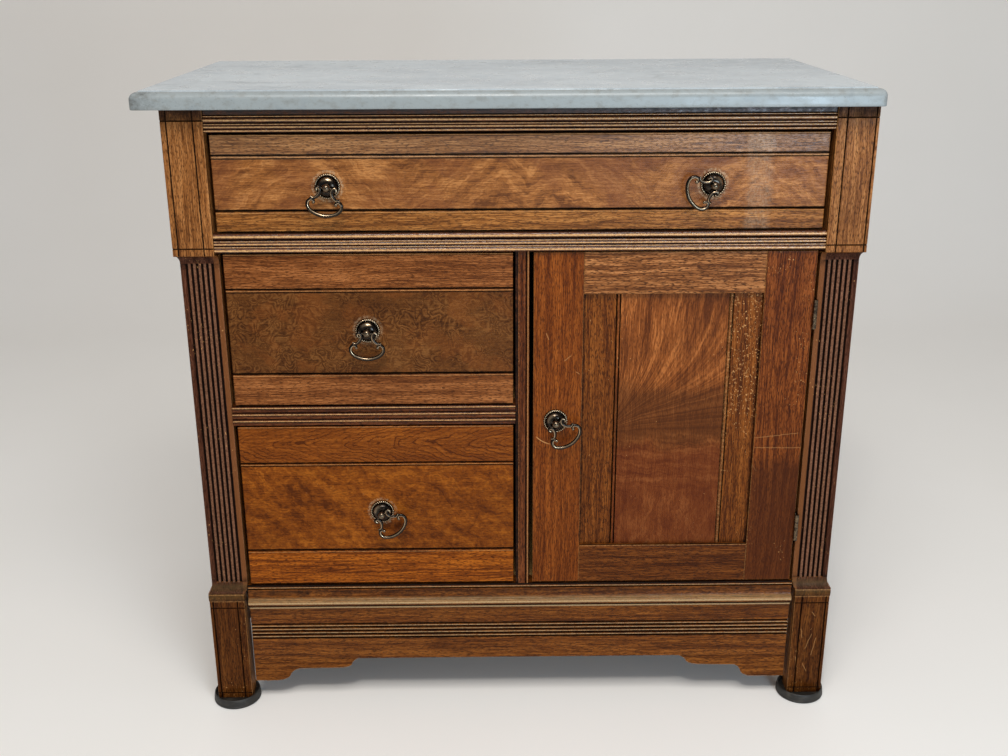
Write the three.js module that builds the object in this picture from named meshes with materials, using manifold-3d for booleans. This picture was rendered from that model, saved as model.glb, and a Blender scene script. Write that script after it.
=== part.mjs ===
// Marble-topped washstand cabinet: one long drawer over two small drawers and a cupboard door.
// Millimetres, +Z up. The front faces -Y, and +X is to the right of someone who faces it.
// While the pieces are built, X = 0 is the middle of the case, Y = 0 is the faces of the two
// corner blocks and Z = 0 is the floor. The last lines move the middle of the footprint to the origin.
import * as THREE from 'three';
import { mergeVertices } from 'three/addons/utils/BufferGeometryUtils.js';
import Module from 'manifold-3d';

// Overall
const overallHeight = 781;

// Marble slab
const slabWidth = 813;
const slabDepth = 406;
const slabThickness = 20;
const slabOverhang = 22; // in front of the corner blocks
const slabSideOverhang = 12.5; // beyond the corner blocks, before the slab slid
const slabBackOverhang = 6; // behind the rear posts
const slabShift = 12.8; // the loose slab has slid this far to the left
const slabCornerRadius = 5;
const slabMouldHeight = 8; // rounded part of the moulded edge
const slabMouldWidth = 8.5;
const slabFillet = 1.4; // small step above the rounded part
const slabArris = 0.8; // chamfer along the bottom edge
const slabShoulder = 1; // flat step between the top surface and the rounded part

// Case
const caseWidth = slabWidth - 2 * slabSideOverhang; // over the corner blocks
const caseDepth = slabDepth - slabOverhang - slabBackOverhang; // from the corner blocks' faces to the rear
const caseTop = overallHeight - slabThickness;
const frontThickness = 27; // from the corner blocks' faces to the back of the front frame
const railSetBack = 0.5; // of the reeded rails, behind the corner blocks
const joint = 0.3; // clearance between pieces that are fitted to each other
const over = 1; // how far a cutting tool runs past what it cuts

// Front stiles, from the floor up
const cupFloor = 6; // thickness of rubber under each leg
const footHeight = 142.4;
const footBandHeight = 11.6;
const footCoveHeight = 14;
const blockCoveHeight = 9.7;
const blockHeight = 165.3;
const blockWidth = 46.5;
const pilasterWidth = 44.6;
const pilasterInset = 5.1; // from the corner block's outer side
const pilasterSetBack = 7;
const footWidth = 45.2;
const footInset = 1.6;
const footSetBack = 2.6;
const footBandProud = 1;
const fluteCount = 6;
const flutePitch = 5.9;
const fluteWidth = 3.3;
const fluteDepth = 2.6;
const fluteFirst = 7.7; // from the pilaster's inner edge to the middle of the first flute
const lineWidth = 1.8; // incised lines on the blocks and feet
const lineDepth = 1.5;
const blockLineTop = 14;
const blockLineBottom = 8.6;
const lineInner = 11; // from the inner edge of a block or foot
const blockLineOuterLeft = 6.6;
const blockLineOuterRight = 3.8;
const footLineOuter = 3.6;
const footLineTop = 9.3;
const footLineBottom = 7.4;

// Heights of what lies between the stiles, from the base rail up; the lower drawer takes what is left
const baseRailBottom = 61;
const baseRailHeight = 108.3;
const sillStep = 3.5; // from the base rail's top to the lower drawer's bottom edge
const dividerHeight = 24;
const upperDrawerHeight = 183.6;
const midRailHeight = 22;
const topDrawerHeight = 108;
const topRailHeight = 26.7;
const frontGap = 2.2; // above and below the drawers and the door
const topDrawerGap = 3.1; // above the long drawer

// Widths of what lies between the stiles
const partitionLeft = -5.7; // left face of the partition between the small drawers and the cupboard
const partitionThickness = 16;
const topDrawerSideGap = 4.3;
const smallDrawerLeftGap = 4.9;
const smallDrawerRightGap = 3;
const doorLatchGap = 5;
const doorHingeGap = 3.6;
const baseRailSideGap = 0.3;

// Faces behind the corner blocks
const drawerSetBack = 6;
const dividerSetBack = 4;
const partitionSetBack = 6.5;
const partitionBeadWidth = 3;
const partitionQuirk = 1.4; // width of the slot beside the bead
const partitionQuirkDepth = 3;
const partitionStripDepth = 1.2; // step at the partition's left edge
const doorSetBack = 6.3;
const baseSetBack = 7.5;
const bracketSetBack = 8.2;

// Sides, back and boards inside
const sideThickness = 20;
const sideInset = 5.6; // from the corner block's outer side to the case's side
const sideTopRailHeight = 71;
const sideBaseRailHeight = 104;
const sidePanelThickness = 8;
const panelTongue = 8; // how far a panel enters its grooves
const rearPostWidth = 21.4;
const rearPostDepth = 45;
const backThickness = 10;
const backInset = 2; // of the back boards, from the back of the rear posts
const runnerThickness = 12;
const floorThickness = 19;
const guideHeight = 12; // of the strips that keep a drawer straight
const guideGap = 0.4;

// Drawers
const drawerFrontThickness = 20;
const drawerBackGap = 0.5; // a closed drawer stops against the back boards
const drawerSideThickness = 12;
const drawerBottomThickness = 6;
const drawerBottomRaise = 8; // from the side's lower edge to the bottom board
const drawerBottomTongue = 5;
const drawerSideDrop = 11; // from the front's top edge to the sides' top edge
const fieldSetBack = 0.4; // of the field between the bands, behind their faces
const topDrawerTopBand = 21.6;
const topDrawerBottomBand = 21.6;
const upperDrawerTopBand = 40.6;
const upperDrawerBottomBand = 37;
const lowerDrawerTopBand = 46.6;
const lowerDrawerBottomBand = 44.6;

// Door
const doorThickness = 20;
const doorStileWidth = 58;
const doorRailHeight = 50;
const doorPanelThickness = 7;
const doorPanelRecess = 6;
const doorBoardLeft = 99.3; // from the door's left edge to the first bead
const doorBoardRight = 231.2; // and to the second
const doorBeadWidth = 4.2; // between the two lines that make a bead
const doorLineWidth = 1.8;
const doorLineDepth = 1.8;

// Butt hinges
const hingeLength = 35;
const hingeUpperDrop = 75.2; // from the door's top edge to the middle of the upper hinge
const hingeLowerRise = 74.3; // from the door's bottom edge to the middle of the lower hinge
const barrelRadius = 2.5;
const hingePinRadius = 1.1;
const hingeBoreRadius = 1.5;
const leafThickness = 1.2;
const leafDepth = 18;
const knuckleCount = 5;
const barrelProud = 3.4; // from the barrel's axis to the face of the pilaster

// Scroll-cut brackets: distances from the foot, and heights above the floor
const bracketFoot = 27.4;
const bracketStep = 45;
const bracketFootLengthLeft = 28;
const bracketRiseLeft = 29;
const bracketStepLengthLeft = 55;
const bracketEndLeft = 26;
const bracketFootLengthRight = 43;
const bracketRiseRight = 23;
const bracketStepLengthRight = 45;
const bracketEndRight = 33;

// Pulls: a domed rosette, a ball on a post and a bail that hangs through the ball
const rosetteRadius = 14.5;
const rosetteRimHeight = 2.8;
const domeHeight = 7.6;
const postRadius = 3.2;
const ballRadius = 4.7;
const pivotStandOff = 12.5; // from the drawer's face to the bail's axis
const stemRadius = 2.2;
const nutHalfWidth = 5;
const nutThickness = 3;
const stemEnd = 1.2; // of the stem, behind its nut
const scrollRod = 1.3;
const gripRod = 1.6;
const bailBar = 1;
const bailBore = 1.4;
const bailBall = 1.9;
const topPullSpread = 215.7; // each of the long drawer's pulls, from the middle of the case
const topPullHeight = 50.6; // above the drawer's bottom edge
const upperPullAcross = 161.2; // from the small drawer's left edge
const upperPullHeight = 91.8;
const lowerPullAcross = 169.4;
const lowerPullHeight = 99.2;
const doorPullAcross = 26.8; // from the door's left edge
const doorPullHeight = 218.6;
// Each post has turned in its hole, so its bail hangs askew by this many degrees
const topLeftTurn = -8.5;
const topRightTurn = -66;
const upperTurn = -1;
const lowerTurn = 42;
const doorTurn = 38.5;

// Rubber cups under the legs
const cupHeight = 12;
const cupBaseRadius = 30.7;
const cupRimRadius = 29.7;
const cupInnerRadius = 27.8;
const cupShiftLeft = 1.3; // of the front left cup, outwards
const cupShiftRight = 1.3; // of the front right cup, inwards
const cupShiftRear = 2.2; // of the rear cups, forwards

// Levels and positions that follow from the sizes above
const caseHalf = caseWidth / 2;
const pilasterBottom = cupFloor + footHeight + footBandHeight + footCoveHeight;
const blockBottom = caseTop - blockHeight;
const pilasterTop = blockBottom - blockCoveHeight;
const topDrawerBottom = caseTop - topRailHeight - topDrawerGap - topDrawerHeight;
const midRailTop = topDrawerBottom - frontGap;
const midRailBottom = midRailTop - midRailHeight;
const upperDrawerBottom = midRailBottom - frontGap - upperDrawerHeight;
const dividerTop = upperDrawerBottom - frontGap;
const dividerBottom = dividerTop - dividerHeight;
const baseRailTop = baseRailBottom + baseRailHeight;
const lowerDrawerBottom = baseRailTop + sillStep;
const lowerDrawerHeight = dividerBottom - frontGap - lowerDrawerBottom;
const blockInner = caseHalf - blockWidth;
const pilasterOuter = caseHalf - pilasterInset;
const pilasterInner = pilasterOuter - pilasterWidth;
const footOuter = caseHalf - footInset;
const footInner = footOuter - footWidth;
const sideOuter = caseHalf - sideInset;
const sideInner = sideOuter - sideThickness;
const rearPostInner = sideOuter - rearPostWidth;
const rearPostFront = caseDepth - rearPostDepth;
const backFront = caseDepth - backInset - backThickness;
const partitionRight = partitionLeft + partitionThickness;
const doorLeft = partitionRight + doorLatchGap;
const doorRight = pilasterInner - doorHingeGap;
const doorBottom = baseRailTop + frontGap;
const doorTop = midRailBottom - frontGap;
const smallDrawerLeft = -pilasterInner + smallDrawerLeftGap;
const smallDrawerRight = partitionLeft - smallDrawerRightGap;
const topDrawerHalf = blockInner - topDrawerSideGap;
const hingeUpper = doorTop - hingeUpperDrop;
const hingeLower = doorBottom + hingeLowerRise;
const hingeAxisX = (doorRight + pilasterInner) / 2;
const hingeAxisY = pilasterSetBack - barrelProud;

const manifoldLibrary = await Module();
manifoldLibrary.setup();

// Solids: three.js geometry in, three.js geometry out
function solidOf(geometry) {
  const bare = geometry.clone();
  bare.deleteAttribute('normal');
  bare.deleteAttribute('uv');
  const merged = mergeVertices(bare, 1e-4);
  const mesh = new manifoldLibrary.Mesh({
    numProp: 3,
    vertProperties: new Float32Array(merged.attributes.position.array),
    triVerts: new Uint32Array(merged.index.array),
  });
  return new manifoldLibrary.Manifold(mesh);
}

function geometryOf(solid) {
  const mesh = solid.getMesh();
  const geometry = new THREE.BufferGeometry();
  geometry.setAttribute('position', new THREE.BufferAttribute(mesh.vertProperties, 3));
  geometry.setIndex(new THREE.BufferAttribute(mesh.triVerts, 1));
  return geometry;
}

function joined(geometries) {
  const solids = geometries.map(solidOf);
  return geometryOf(solids.reduce((whole, solid) => whole.add(solid)));
}

function cut(geometry, cutters) {
  const solids = cutters.map(solidOf);
  return geometryOf(solids.reduce((whole, solid) => whole.subtract(solid), solidOf(geometry)));
}

function common(first, second) {
  return geometryOf(solidOf(first).intersect(solidOf(second)));
}

// Basic forms
function box(x0, x1, y0, y1, z0, z1) {
  const geometry = new THREE.BoxGeometry(Math.abs(x1 - x0), y1 - y0, z1 - z0);
  return geometry.translate((x0 + x1) / 2, (y0 + y1) / 2, (z0 + z1) / 2);
}

function shapeOf(points) {
  return new THREE.Shape(points.map(([u, v]) => new THREE.Vector2(u, v)));
}

function extruded(points, length) {
  return new THREE.ExtrudeGeometry(shapeOf(points), { depth: length, bevelEnabled: false, steps: 1 });
}

// An outline of [y, z] points, drawn out along X
function alongX(points, x0, x1) {
  const low = Math.min(x0, x1);
  const turn = new THREE.Matrix4().makeBasis(
    new THREE.Vector3(0, 1, 0), new THREE.Vector3(0, 0, 1), new THREE.Vector3(1, 0, 0));
  return extruded(points, Math.abs(x1 - x0)).applyMatrix4(turn).translate(low, 0, 0);
}

// An outline of [x, z] points, drawn out along Y
function alongY(points, y0, y1) {
  const turn = new THREE.Matrix4().makeBasis(
    new THREE.Vector3(1, 0, 0), new THREE.Vector3(0, 0, 1), new THREE.Vector3(0, -1, 0));
  return extruded(points, y1 - y0).applyMatrix4(turn).translate(0, y1, 0);
}

// An outline of [x, y] points, drawn out along Z
function alongZ(points, z0, z1) {
  return extruded(points, z1 - z0).translate(0, 0, z0);
}

// Mouldings: each returns [drop, set-back] points from its top edge to its bottom edge
function flat(height, setBack) {
  return [[0, setBack], [height, setBack]];
}

function bead(height, setBack, relief, steps = 6) {
  const points = [];
  for (let i = 0; i <= steps; i += 1) {
    const angle = Math.PI * i / steps;
    points.push([height * (1 - Math.cos(angle)) / 2, setBack + relief * (1 - Math.sin(angle))]);
  }
  return points;
}

function groove(height, setBack, depth) {
  return [[0, setBack], [height / 2, setBack + depth], [height, setBack]];
}

// A hollow quarter round that starts upright and ends lying forward
function cove(height, setTop, setBottom, steps = 4) {
  const points = [];
  for (let i = 0; i <= steps; i += 1) {
    const angle = Math.PI / 2 * i / steps;
    points.push([height * Math.sin(angle), setTop + (setBottom - setTop) * (1 - Math.cos(angle))]);
  }
  return points;
}

// A face of mouldings one under the other, closed by a plain back: an outline of [y, z] points
function mouldedOutline(mouldings, front, top, back) {
  const points = [];
  let level = top;
  for (const moulding of mouldings) {
    for (const [drop, setBack] of moulding) {
      const point = [front + setBack, level - drop];
      const last = points[points.length - 1];
      if (!last || Math.hypot(point[0] - last[0], point[1] - last[1]) > 1e-3) points.push(point);
    }
    level -= moulding[moulding.length - 1][0];
  }
  points.push([back, level], [back, top]);
  return points;
}

function heightOf(mouldings) {
  return mouldings.reduce((sum, moulding) => sum + moulding[moulding.length - 1][0], 0);
}

// Materials
function finish(colour, roughness, metalness = 0) {
  return { color: colour, roughness, metalness };
}

const finishes = {
  darkWalnut: finish('#4a2a18', 0.5),
  frontWalnut: finish('#80481f', 0.42),
  panelWalnut: finish('#8a4e22', 0.4),
  poplar: finish('#a98556', 0.75),
  marble: finish('#c6c7c4', 0.32),
  bronze: finish('#4b443a', 0.38, 0.9),
  rubber: finish('#25231f', 0.7),
};

const cabinet = new THREE.Group();

function place(name, geometry, finishName, parent = cabinet) {
  const mesh = new THREE.Mesh(geometry, new THREE.MeshStandardMaterial(finishes[finishName]));
  mesh.name = name;
  parent.add(mesh);
}

// Marble slab: the front and both ends are moulded, and the back is sawn off square
function slabOutline() {
  const half = slabWidth / 2;
  const front = -slabOverhang;
  const back = front + slabDepth;
  const radius = slabCornerRadius;
  const arcSteps = 5;
  const points = [[half, back], [-half, back]];
  for (const side of [-1, 1]) {
    for (let i = 0; i <= arcSteps; i += 1) {
      const share = side < 0 ? i / arcSteps : 1 - i / arcSteps;
      const angle = Math.PI / 2 * share;
      points.push([
        side * (half - radius * (1 - Math.cos(angle))),
        front + radius * (1 - Math.sin(angle)),
      ]);
    }
  }
  return points;
}

// The moulded edge from its bottom to its top, as [inset, height]
function slabEdge() {
  const top = caseTop + slabThickness;
  const mouldBottom = top - slabFillet - slabMouldHeight;
  const arcSteps = 5;
  const points = [[slabArris, caseTop], [0, caseTop + slabArris]];
  for (let i = 0; i <= arcSteps; i += 1) {
    const angle = Math.PI / 2 * i / arcSteps;
    points.push([slabMouldWidth * (1 - Math.cos(angle)), mouldBottom + slabMouldHeight * Math.sin(angle)]);
  }
  points.push([slabMouldWidth + slabShoulder, top - slabFillet], [slabMouldWidth + slabShoulder, top]);
  return points;
}

function marbleTop() {
  const top = caseTop + slabThickness;
  const half = slabWidth / 2;
  const front = -slabOverhang;
  const back = front + slabDepth;
  const edge = slabEdge();
  const frontEdge = edge.map(([inset, level]) => [front + inset, level]);
  const rightEdge = edge.map(([inset, level]) => [half - inset, level]);
  const leftEdge = edge.map(([inset, level]) => [inset - half, level]);
  const drawnAcross = alongX([...frontEdge, [back, top], [back, caseTop]], -half, half);
  const drawnBack = alongY([...rightEdge, ...leftEdge.reverse()], front, back);
  const plan = alongZ(slabOutline(), caseTop, top);
  return common(common(drawnAcross, drawnBack), plan).translate(-slabShift, 0, 0);
}

place('marble_top', marbleTop(), 'marble');

// Front stiles: foot, moulded band, fluted pilaster and corner block in one board
function lineUp(x, face, z0, z1, width = lineWidth, depth = lineDepth) {
  const section = [[x - width / 2, face], [x, face + depth], [x + width / 2, face], [x, face - depth]];
  return alongZ(section, z0 - over, z1 + over);
}

function lineAcross(z, face, x0, x1) {
  const section = [[face, z - lineWidth / 2], [face + lineDepth, z], [face, z + lineWidth / 2], [face - lineDepth, z]];
  return alongX(section, Math.min(x0, x1) - over, Math.max(x0, x1) + over);
}

function flutedOutline(side) {
  const points = [[side * pilasterInner, frontThickness], [side * pilasterInner, pilasterSetBack]];
  const arcSteps = 6;
  for (let flute = 0; flute < fluteCount; flute += 1) {
    const middle = pilasterInner + fluteFirst + flute * flutePitch;
    for (let i = 0; i <= arcSteps; i += 1) {
      const angle = Math.PI * i / arcSteps;
      points.push([
        side * (middle - fluteWidth / 2 * Math.cos(angle)),
        pilasterSetBack + fluteDepth * Math.sin(angle),
      ]);
    }
  }
  points.push([side * pilasterOuter, pilasterSetBack], [side * pilasterOuter, frontThickness]);
  return points;
}

// A hollow transition between two levels, worked on the front and on both sides:
// each end is given as [inner, outer, set-back]
function coveBlock(side, z0, low, z1, high, towardsTop) {
  const steps = 4;
  const share = (i) => (towardsTop ? 1 - Math.cos(Math.PI / 2 * i / steps) : Math.sin(Math.PI / 2 * i / steps));
  const level = (i) => z0 + (z1 - z0) * (towardsTop ? Math.sin(Math.PI / 2 * i / steps)
    : 1 - Math.cos(Math.PI / 2 * i / steps));
  const mix = (column, i) => low[column] + (high[column] - low[column]) * share(i);
  const innerEdge = [];
  const outerEdge = [];
  const frontEdge = [];
  for (let i = 0; i <= steps; i += 1) {
    innerEdge.push([side * mix(0, i), level(i)]);
    outerEdge.push([side * mix(1, i), level(i)]);
    frontEdge.push([mix(2, i), level(i)]);
  }
  const frontView = alongY([...innerEdge, ...outerEdge.reverse()], 0, frontThickness);
  const sideView = alongX([...frontEdge, [frontThickness, z1], [frontThickness, z0]],
    side * (pilasterInner - over), side * (caseHalf + over));
  return common(frontView, sideView);
}

function frontStile(side) {
  const footTop = cupFloor + footHeight;
  const bandTop = footTop + footBandHeight;
  const blockLineOuter = side < 0 ? blockLineOuterLeft : blockLineOuterRight;
  const bandFace = footSetBack - footBandProud;
  const body = joined([
    box(side * footInner, side * footOuter, footSetBack, frontThickness, cupFloor, footTop),
    box(side * (footInner - footBandProud), side * (footOuter + footBandProud), bandFace, frontThickness,
      footTop, bandTop),
    coveBlock(side, bandTop, [footInner - footBandProud, footOuter + footBandProud, bandFace],
      pilasterBottom, [pilasterInner, pilasterOuter, pilasterSetBack], false),
    alongZ(flutedOutline(side), pilasterBottom, pilasterTop),
    coveBlock(side, pilasterTop, [pilasterInner, pilasterOuter, pilasterSetBack],
      blockBottom, [pilasterInner, caseHalf, 0], true),
    box(side * blockInner, side * caseHalf, 0, frontThickness, blockBottom, caseTop),
  ]);
  const panelMiddle = side * (sideInner + sideOuter) / 2;
  const grooveHalf = sidePanelThickness / 2 + joint;
  return cut(body, [
    lineUp(side * (blockInner + lineInner), 0, blockBottom, caseTop),
    lineUp(side * (caseHalf - blockLineOuter), 0, blockBottom, caseTop),
    lineAcross(caseTop - blockLineTop, 0, side * blockInner, side * caseHalf),
    lineAcross(blockBottom + blockLineBottom, 0, side * blockInner, side * caseHalf),
    lineUp(side * (footInner + lineInner), footSetBack, cupFloor, footTop - over),
    lineUp(side * (footOuter - footLineOuter), footSetBack, cupFloor, footTop - over),
    lineAcross(footTop - footLineTop, footSetBack, side * footInner, side * footOuter),
    lineAcross(cupFloor + footLineBottom, footSetBack, side * footInner, side * footOuter),
    box(panelMiddle - grooveHalf, panelMiddle + grooveHalf, frontThickness - panelTongue - joint,
      frontThickness + over, baseRailBottom + sideBaseRailHeight - panelTongue - joint,
      caseTop - sideTopRailHeight + panelTongue + joint),
  ]);
}

place('front_stile_left', frontStile(-1), 'darkWalnut');
place('front_stile_right', frontStile(1), 'darkWalnut');

// Reeded rails
const doubleReed = [bead(2.2, 0.6, 0.7, 4), bead(3.6, 0, 1.2), groove(0.9, 1.4, 1.2)];

function topRail() {
  const reeds = [groove(1, 1.6, 1.4), bead(1.8, 1, 0.7, 4), groove(0.8, 1.6, 1), bead(4.8, 0, 1.6),
    groove(0.9, 1.6, 1.2), ...doubleReed, bead(3, 0.4, 1)];
  const faces = [flat(topRailHeight - heightOf(reeds), 1.6), ...reeds];
  const outline = mouldedOutline(faces, railSetBack, caseTop, frontThickness);
  return alongX(outline, -blockInner + joint, blockInner - joint);
}

function midRail() {
  const reeds = [bead(6.4, 0, 3), groove(1.4, 2.2, 1.8), ...doubleReed, bead(2.2, 0.8, 0.7, 4)];
  const faces = [...reeds, bead(midRailHeight - heightOf(reeds), 0.4, 1.8)];
  const outline = mouldedOutline(faces, railSetBack, midRailTop, frontThickness);
  return alongX(outline, -blockInner + joint, blockInner - joint);
}

function dividerRail() {
  const reedCount = 3;
  const quirk = 1.2;
  const reedHeight = (dividerHeight - (reedCount - 1) * quirk) / reedCount;
  const faces = [];
  for (let reed = 0; reed < reedCount; reed += 1) {
    if (reed > 0) faces.push(groove(quirk, 1.9, 1.5));
    faces.push(bead(reedHeight * 0.45, 0, 1.4, 4), flat(reedHeight * 0.55, 1.4));
  }
  const outline = mouldedOutline(faces, dividerSetBack, dividerTop, frontThickness);
  return alongX(outline, -pilasterInner + joint, partitionLeft - joint);
}

function baseRail() {
  const reedCount = 4;
  const reedHeight = 2.9;
  const reedGroove = 2.1;
  const coveHeight = 11.6;
  const coveTop = 5.2;
  const coveBottom = 1.6;
  const noseHeight = 8.6;
  const filletSetBack = 6.3;
  const bandHeight = 22;
  const mould = [bead(3, 4.6, 1.2, 4), flat(1.8, coveTop + 2.8), flat(1.8, coveTop),
    cove(coveHeight, coveTop, coveBottom), bead(noseHeight, 0, 3.2), flat(2.6, 4.6),
    groove(1.2, filletSetBack, 1.6), flat(2.4, filletSetBack), flat(bandHeight, baseSetBack)];
  const reeds = [groove(reedGroove, baseSetBack, 1.9)];
  for (let reed = 0; reed < reedCount; reed += 1) {
    reeds.push(bead(reedHeight, baseSetBack, 0.8, 4), groove(reedGroove, baseSetBack, 1.9));
  }
  const faces = [...mould, ...reeds];
  faces.push(flat(baseRailHeight - heightOf(faces), baseSetBack));
  const outline = mouldedOutline(faces, 0, baseRailTop, frontThickness);
  return alongX(outline, -pilasterInner + baseRailSideGap, pilasterInner - baseRailSideGap);
}

place('top_rail', topRail(), 'darkWalnut');
place('mid_rail', midRail(), 'darkWalnut');
place('drawer_divider_rail', dividerRail(), 'darkWalnut');
place('base_rail', baseRail(), 'frontWalnut');

// Scroll-cut brackets under the base rail
function bracket(side, footLength, rise, stepLength, end) {
  const outer = pilasterInner - baseRailSideGap;
  const along = (distance) => side * (outer - distance);
  const shape = new THREE.Shape();
  const risen = footLength + rise;
  const stepEnd = risen + stepLength;
  const tip = stepEnd + end;
  shape.moveTo(along(0), baseRailBottom);
  shape.lineTo(along(0), bracketFoot);
  shape.lineTo(along(footLength), bracketFoot);
  shape.quadraticCurveTo(along(footLength + rise * 0.55), bracketFoot + 2, along(footLength + rise * 0.6),
    (bracketFoot + bracketStep) / 2);
  shape.quadraticCurveTo(along(footLength + rise * 0.7), bracketStep - 2, along(risen), bracketStep);
  shape.lineTo(along(stepEnd), bracketStep + 1);
  shape.quadraticCurveTo(along(stepEnd + end * 0.5), bracketStep + 2, along(stepEnd + end * 0.55),
    (bracketStep + baseRailBottom) / 2);
  shape.quadraticCurveTo(along(stepEnd + end * 0.65), baseRailBottom - 2, along(tip), baseRailBottom);
  const curveSteps = 4;
  const points = shape.getPoints(curveSteps).map((point) => [point.x, point.y]);
  const first = points[0];
  const last = points[points.length - 1];
  if (Math.hypot(first[0] - last[0], first[1] - last[1]) < 1e-3) points.pop();
  return alongY(points, bracketSetBack, frontThickness);
}

place('bracket_left', bracket(-1, bracketFootLengthLeft, bracketRiseLeft, bracketStepLengthLeft,
  bracketEndLeft), 'frontWalnut');
place('bracket_right', bracket(1, bracketFootLengthRight, bracketRiseRight, bracketStepLengthRight,
  bracketEndRight), 'darkWalnut');

// Sides: rear post, two rails and a panel held in grooves
function sideFrame(side, word) {
  const middle = side * (sideInner + sideOuter) / 2;
  const grooveHalf = sidePanelThickness / 2 + joint;
  const panelBottom = baseRailBottom + sideBaseRailHeight;
  const panelTop = caseTop - sideTopRailHeight;
  const reach = panelTongue + joint;
  const grooveBox = (y0, y1, z0, z1) => box(middle - grooveHalf, middle + grooveHalf, y0, y1, z0, z1);
  const post = box(side * rearPostInner, side * sideOuter, rearPostFront, caseDepth, cupFloor, caseTop);
  const topRailBox = box(side * sideInner, side * sideOuter, frontThickness, rearPostFront, panelTop, caseTop);
  const baseRailBox = box(side * sideInner, side * sideOuter, frontThickness, rearPostFront,
    baseRailBottom, panelBottom);
  const panel = box(middle - sidePanelThickness / 2, middle + sidePanelThickness / 2,
    frontThickness - panelTongue, rearPostFront + panelTongue, panelBottom - panelTongue, panelTop + panelTongue);
  place(`rear_post_${word}`, cut(post, [grooveBox(rearPostFront - over, rearPostFront + reach,
    panelBottom - reach, panelTop + reach)]), 'darkWalnut');
  place(`side_top_rail_${word}`, cut(topRailBox, [grooveBox(frontThickness - over, rearPostFront + over,
    panelTop - over, panelTop + reach)]), 'darkWalnut');
  place(`side_base_rail_${word}`, cut(baseRailBox, [grooveBox(frontThickness - over, rearPostFront + over,
    panelBottom - reach, panelBottom + over)]), 'darkWalnut');
  place(`side_panel_${word}`, panel, 'panelWalnut');
}

sideFrame(-1, 'left');
sideFrame(1, 'right');

place('back_panel', box(-rearPostInner + joint, rearPostInner - joint, backFront, backFront + backThickness,
  baseRailBottom, caseTop), 'poplar');

// Boards inside the case, cut round the rear posts; the drawers slide on them between raised guides
function caseBoard(left, right, top, thickness, guides) {
  const outline = [[left, frontThickness], [right, frontThickness]];
  const postCorner = rearPostInner - joint;
  if (right > postCorner) {
    outline.push([right, rearPostFront], [postCorner, rearPostFront], [postCorner, backFront]);
  } else {
    outline.push([right, backFront]);
  }
  outline.push([-postCorner, backFront], [-postCorner, rearPostFront], [left, rearPostFront]);
  const board = alongZ(outline, top - thickness, top);
  const strips = guides.map(([x0, x1]) => box(x0, x1, frontThickness, rearPostFront, top - thickness,
    top + guideHeight));
  return joined([board, ...strips]);
}

const topRunnerTop = topDrawerBottom - joint;
const upperRunnerTop = upperDrawerBottom - joint;
const floorTop = lowerDrawerBottom - joint;
const topGuide = topDrawerHalf + guideGap;
const smallGuide = smallDrawerLeft - guideGap;

place('runner_board_top', caseBoard(-sideInner, sideInner, topRunnerTop, runnerThickness,
  [[-sideInner, -topGuide], [topGuide, sideInner]]), 'poplar');
place('runner_board_middle', caseBoard(-sideInner, partitionLeft - joint, upperRunnerTop, runnerThickness,
  [[-sideInner, smallGuide]]), 'poplar');
place('floor_board', caseBoard(-sideInner, sideInner, floorTop, floorThickness,
  [[-sideInner, smallGuide]]), 'poplar');

// Partition with a beaded front edge
function partition() {
  const outline = [
    [partitionSetBack, baseRailTop + joint], [frontThickness, baseRailTop + joint],
    [frontThickness, floorTop], [backFront, floorTop],
    [backFront, topRunnerTop - runnerThickness], [frontThickness, topRunnerTop - runnerThickness],
    [frontThickness, midRailBottom - joint], [partitionSetBack, midRailBottom - joint],
  ];
  const board = alongX(outline, partitionLeft, partitionRight);
  const beadLeft = partitionRight - partitionBeadWidth;
  const stripRight = partitionLeft + partitionBeadWidth;
  const ahead = partitionSetBack - over;
  return cut(board, [
    box(beadLeft - partitionQuirk, beadLeft, ahead, partitionSetBack + partitionQuirkDepth, baseRailTop,
      midRailBottom),
    box(partitionLeft - over, stripRight, ahead, partitionSetBack + partitionStripDepth, baseRailTop,
      midRailBottom),
  ]);
}

place('partition', partition(), 'darkWalnut');

// Pulls. In a pull's own frame its axis lies along -Y, the bail's bar along X, and the bail hangs down.
function rosette(boardThickness) {
  const profile = [
    [0, 0], [rosetteRadius, 0], [rosetteRadius, rosetteRimHeight * 0.6],
    [rosetteRadius - 1, rosetteRimHeight], [rosetteRadius - 2.3, rosetteRimHeight * 0.93],
    [rosetteRadius - 3, rosetteRimHeight * 0.6], [rosetteRadius - 3.8, rosetteRimHeight * 0.8],
    [rosetteRadius * 0.7, domeHeight * 0.5], [rosetteRadius * 0.6, domeHeight * 0.75],
    [rosetteRadius * 0.45, domeHeight * 0.93], [postRadius + 1, domeHeight],
  ];
  const neckAngle = Math.asin(postRadius / ballRadius);
  const ballSteps = 5;
  for (let i = 0; i <= ballSteps; i += 1) {
    const angle = Math.PI - neckAngle - (Math.PI - neckAngle) * i / ballSteps;
    profile.push([ballRadius * Math.sin(angle), pivotStandOff + ballRadius * Math.cos(angle)]);
  }
  profile[profile.length - 1][0] = 0;
  const turned = new THREE.LatheGeometry(profile.map(([r, h]) => new THREE.Vector2(r, h)), 18)
    .rotateX(Math.PI);
  const nutFront = boardThickness + joint;
  const stemBack = nutFront + nutThickness + stemEnd;
  const stem = new THREE.CylinderGeometry(stemRadius, stemRadius, stemBack + over, 10)
    .translate(0, (stemBack - over) / 2, 0);
  const nut = box(-nutHalfWidth, nutHalfWidth, nutFront, nutFront + nutThickness, -nutHalfWidth, nutHalfWidth);
  const hole = new THREE.CylinderGeometry(bailBore, bailBore, 2 * ballRadius + over, 10)
    .rotateZ(Math.PI / 2).translate(0, -pivotStandOff, 0);
  return cut(joined([turned, stem, nut]), [hole]);
}

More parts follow.
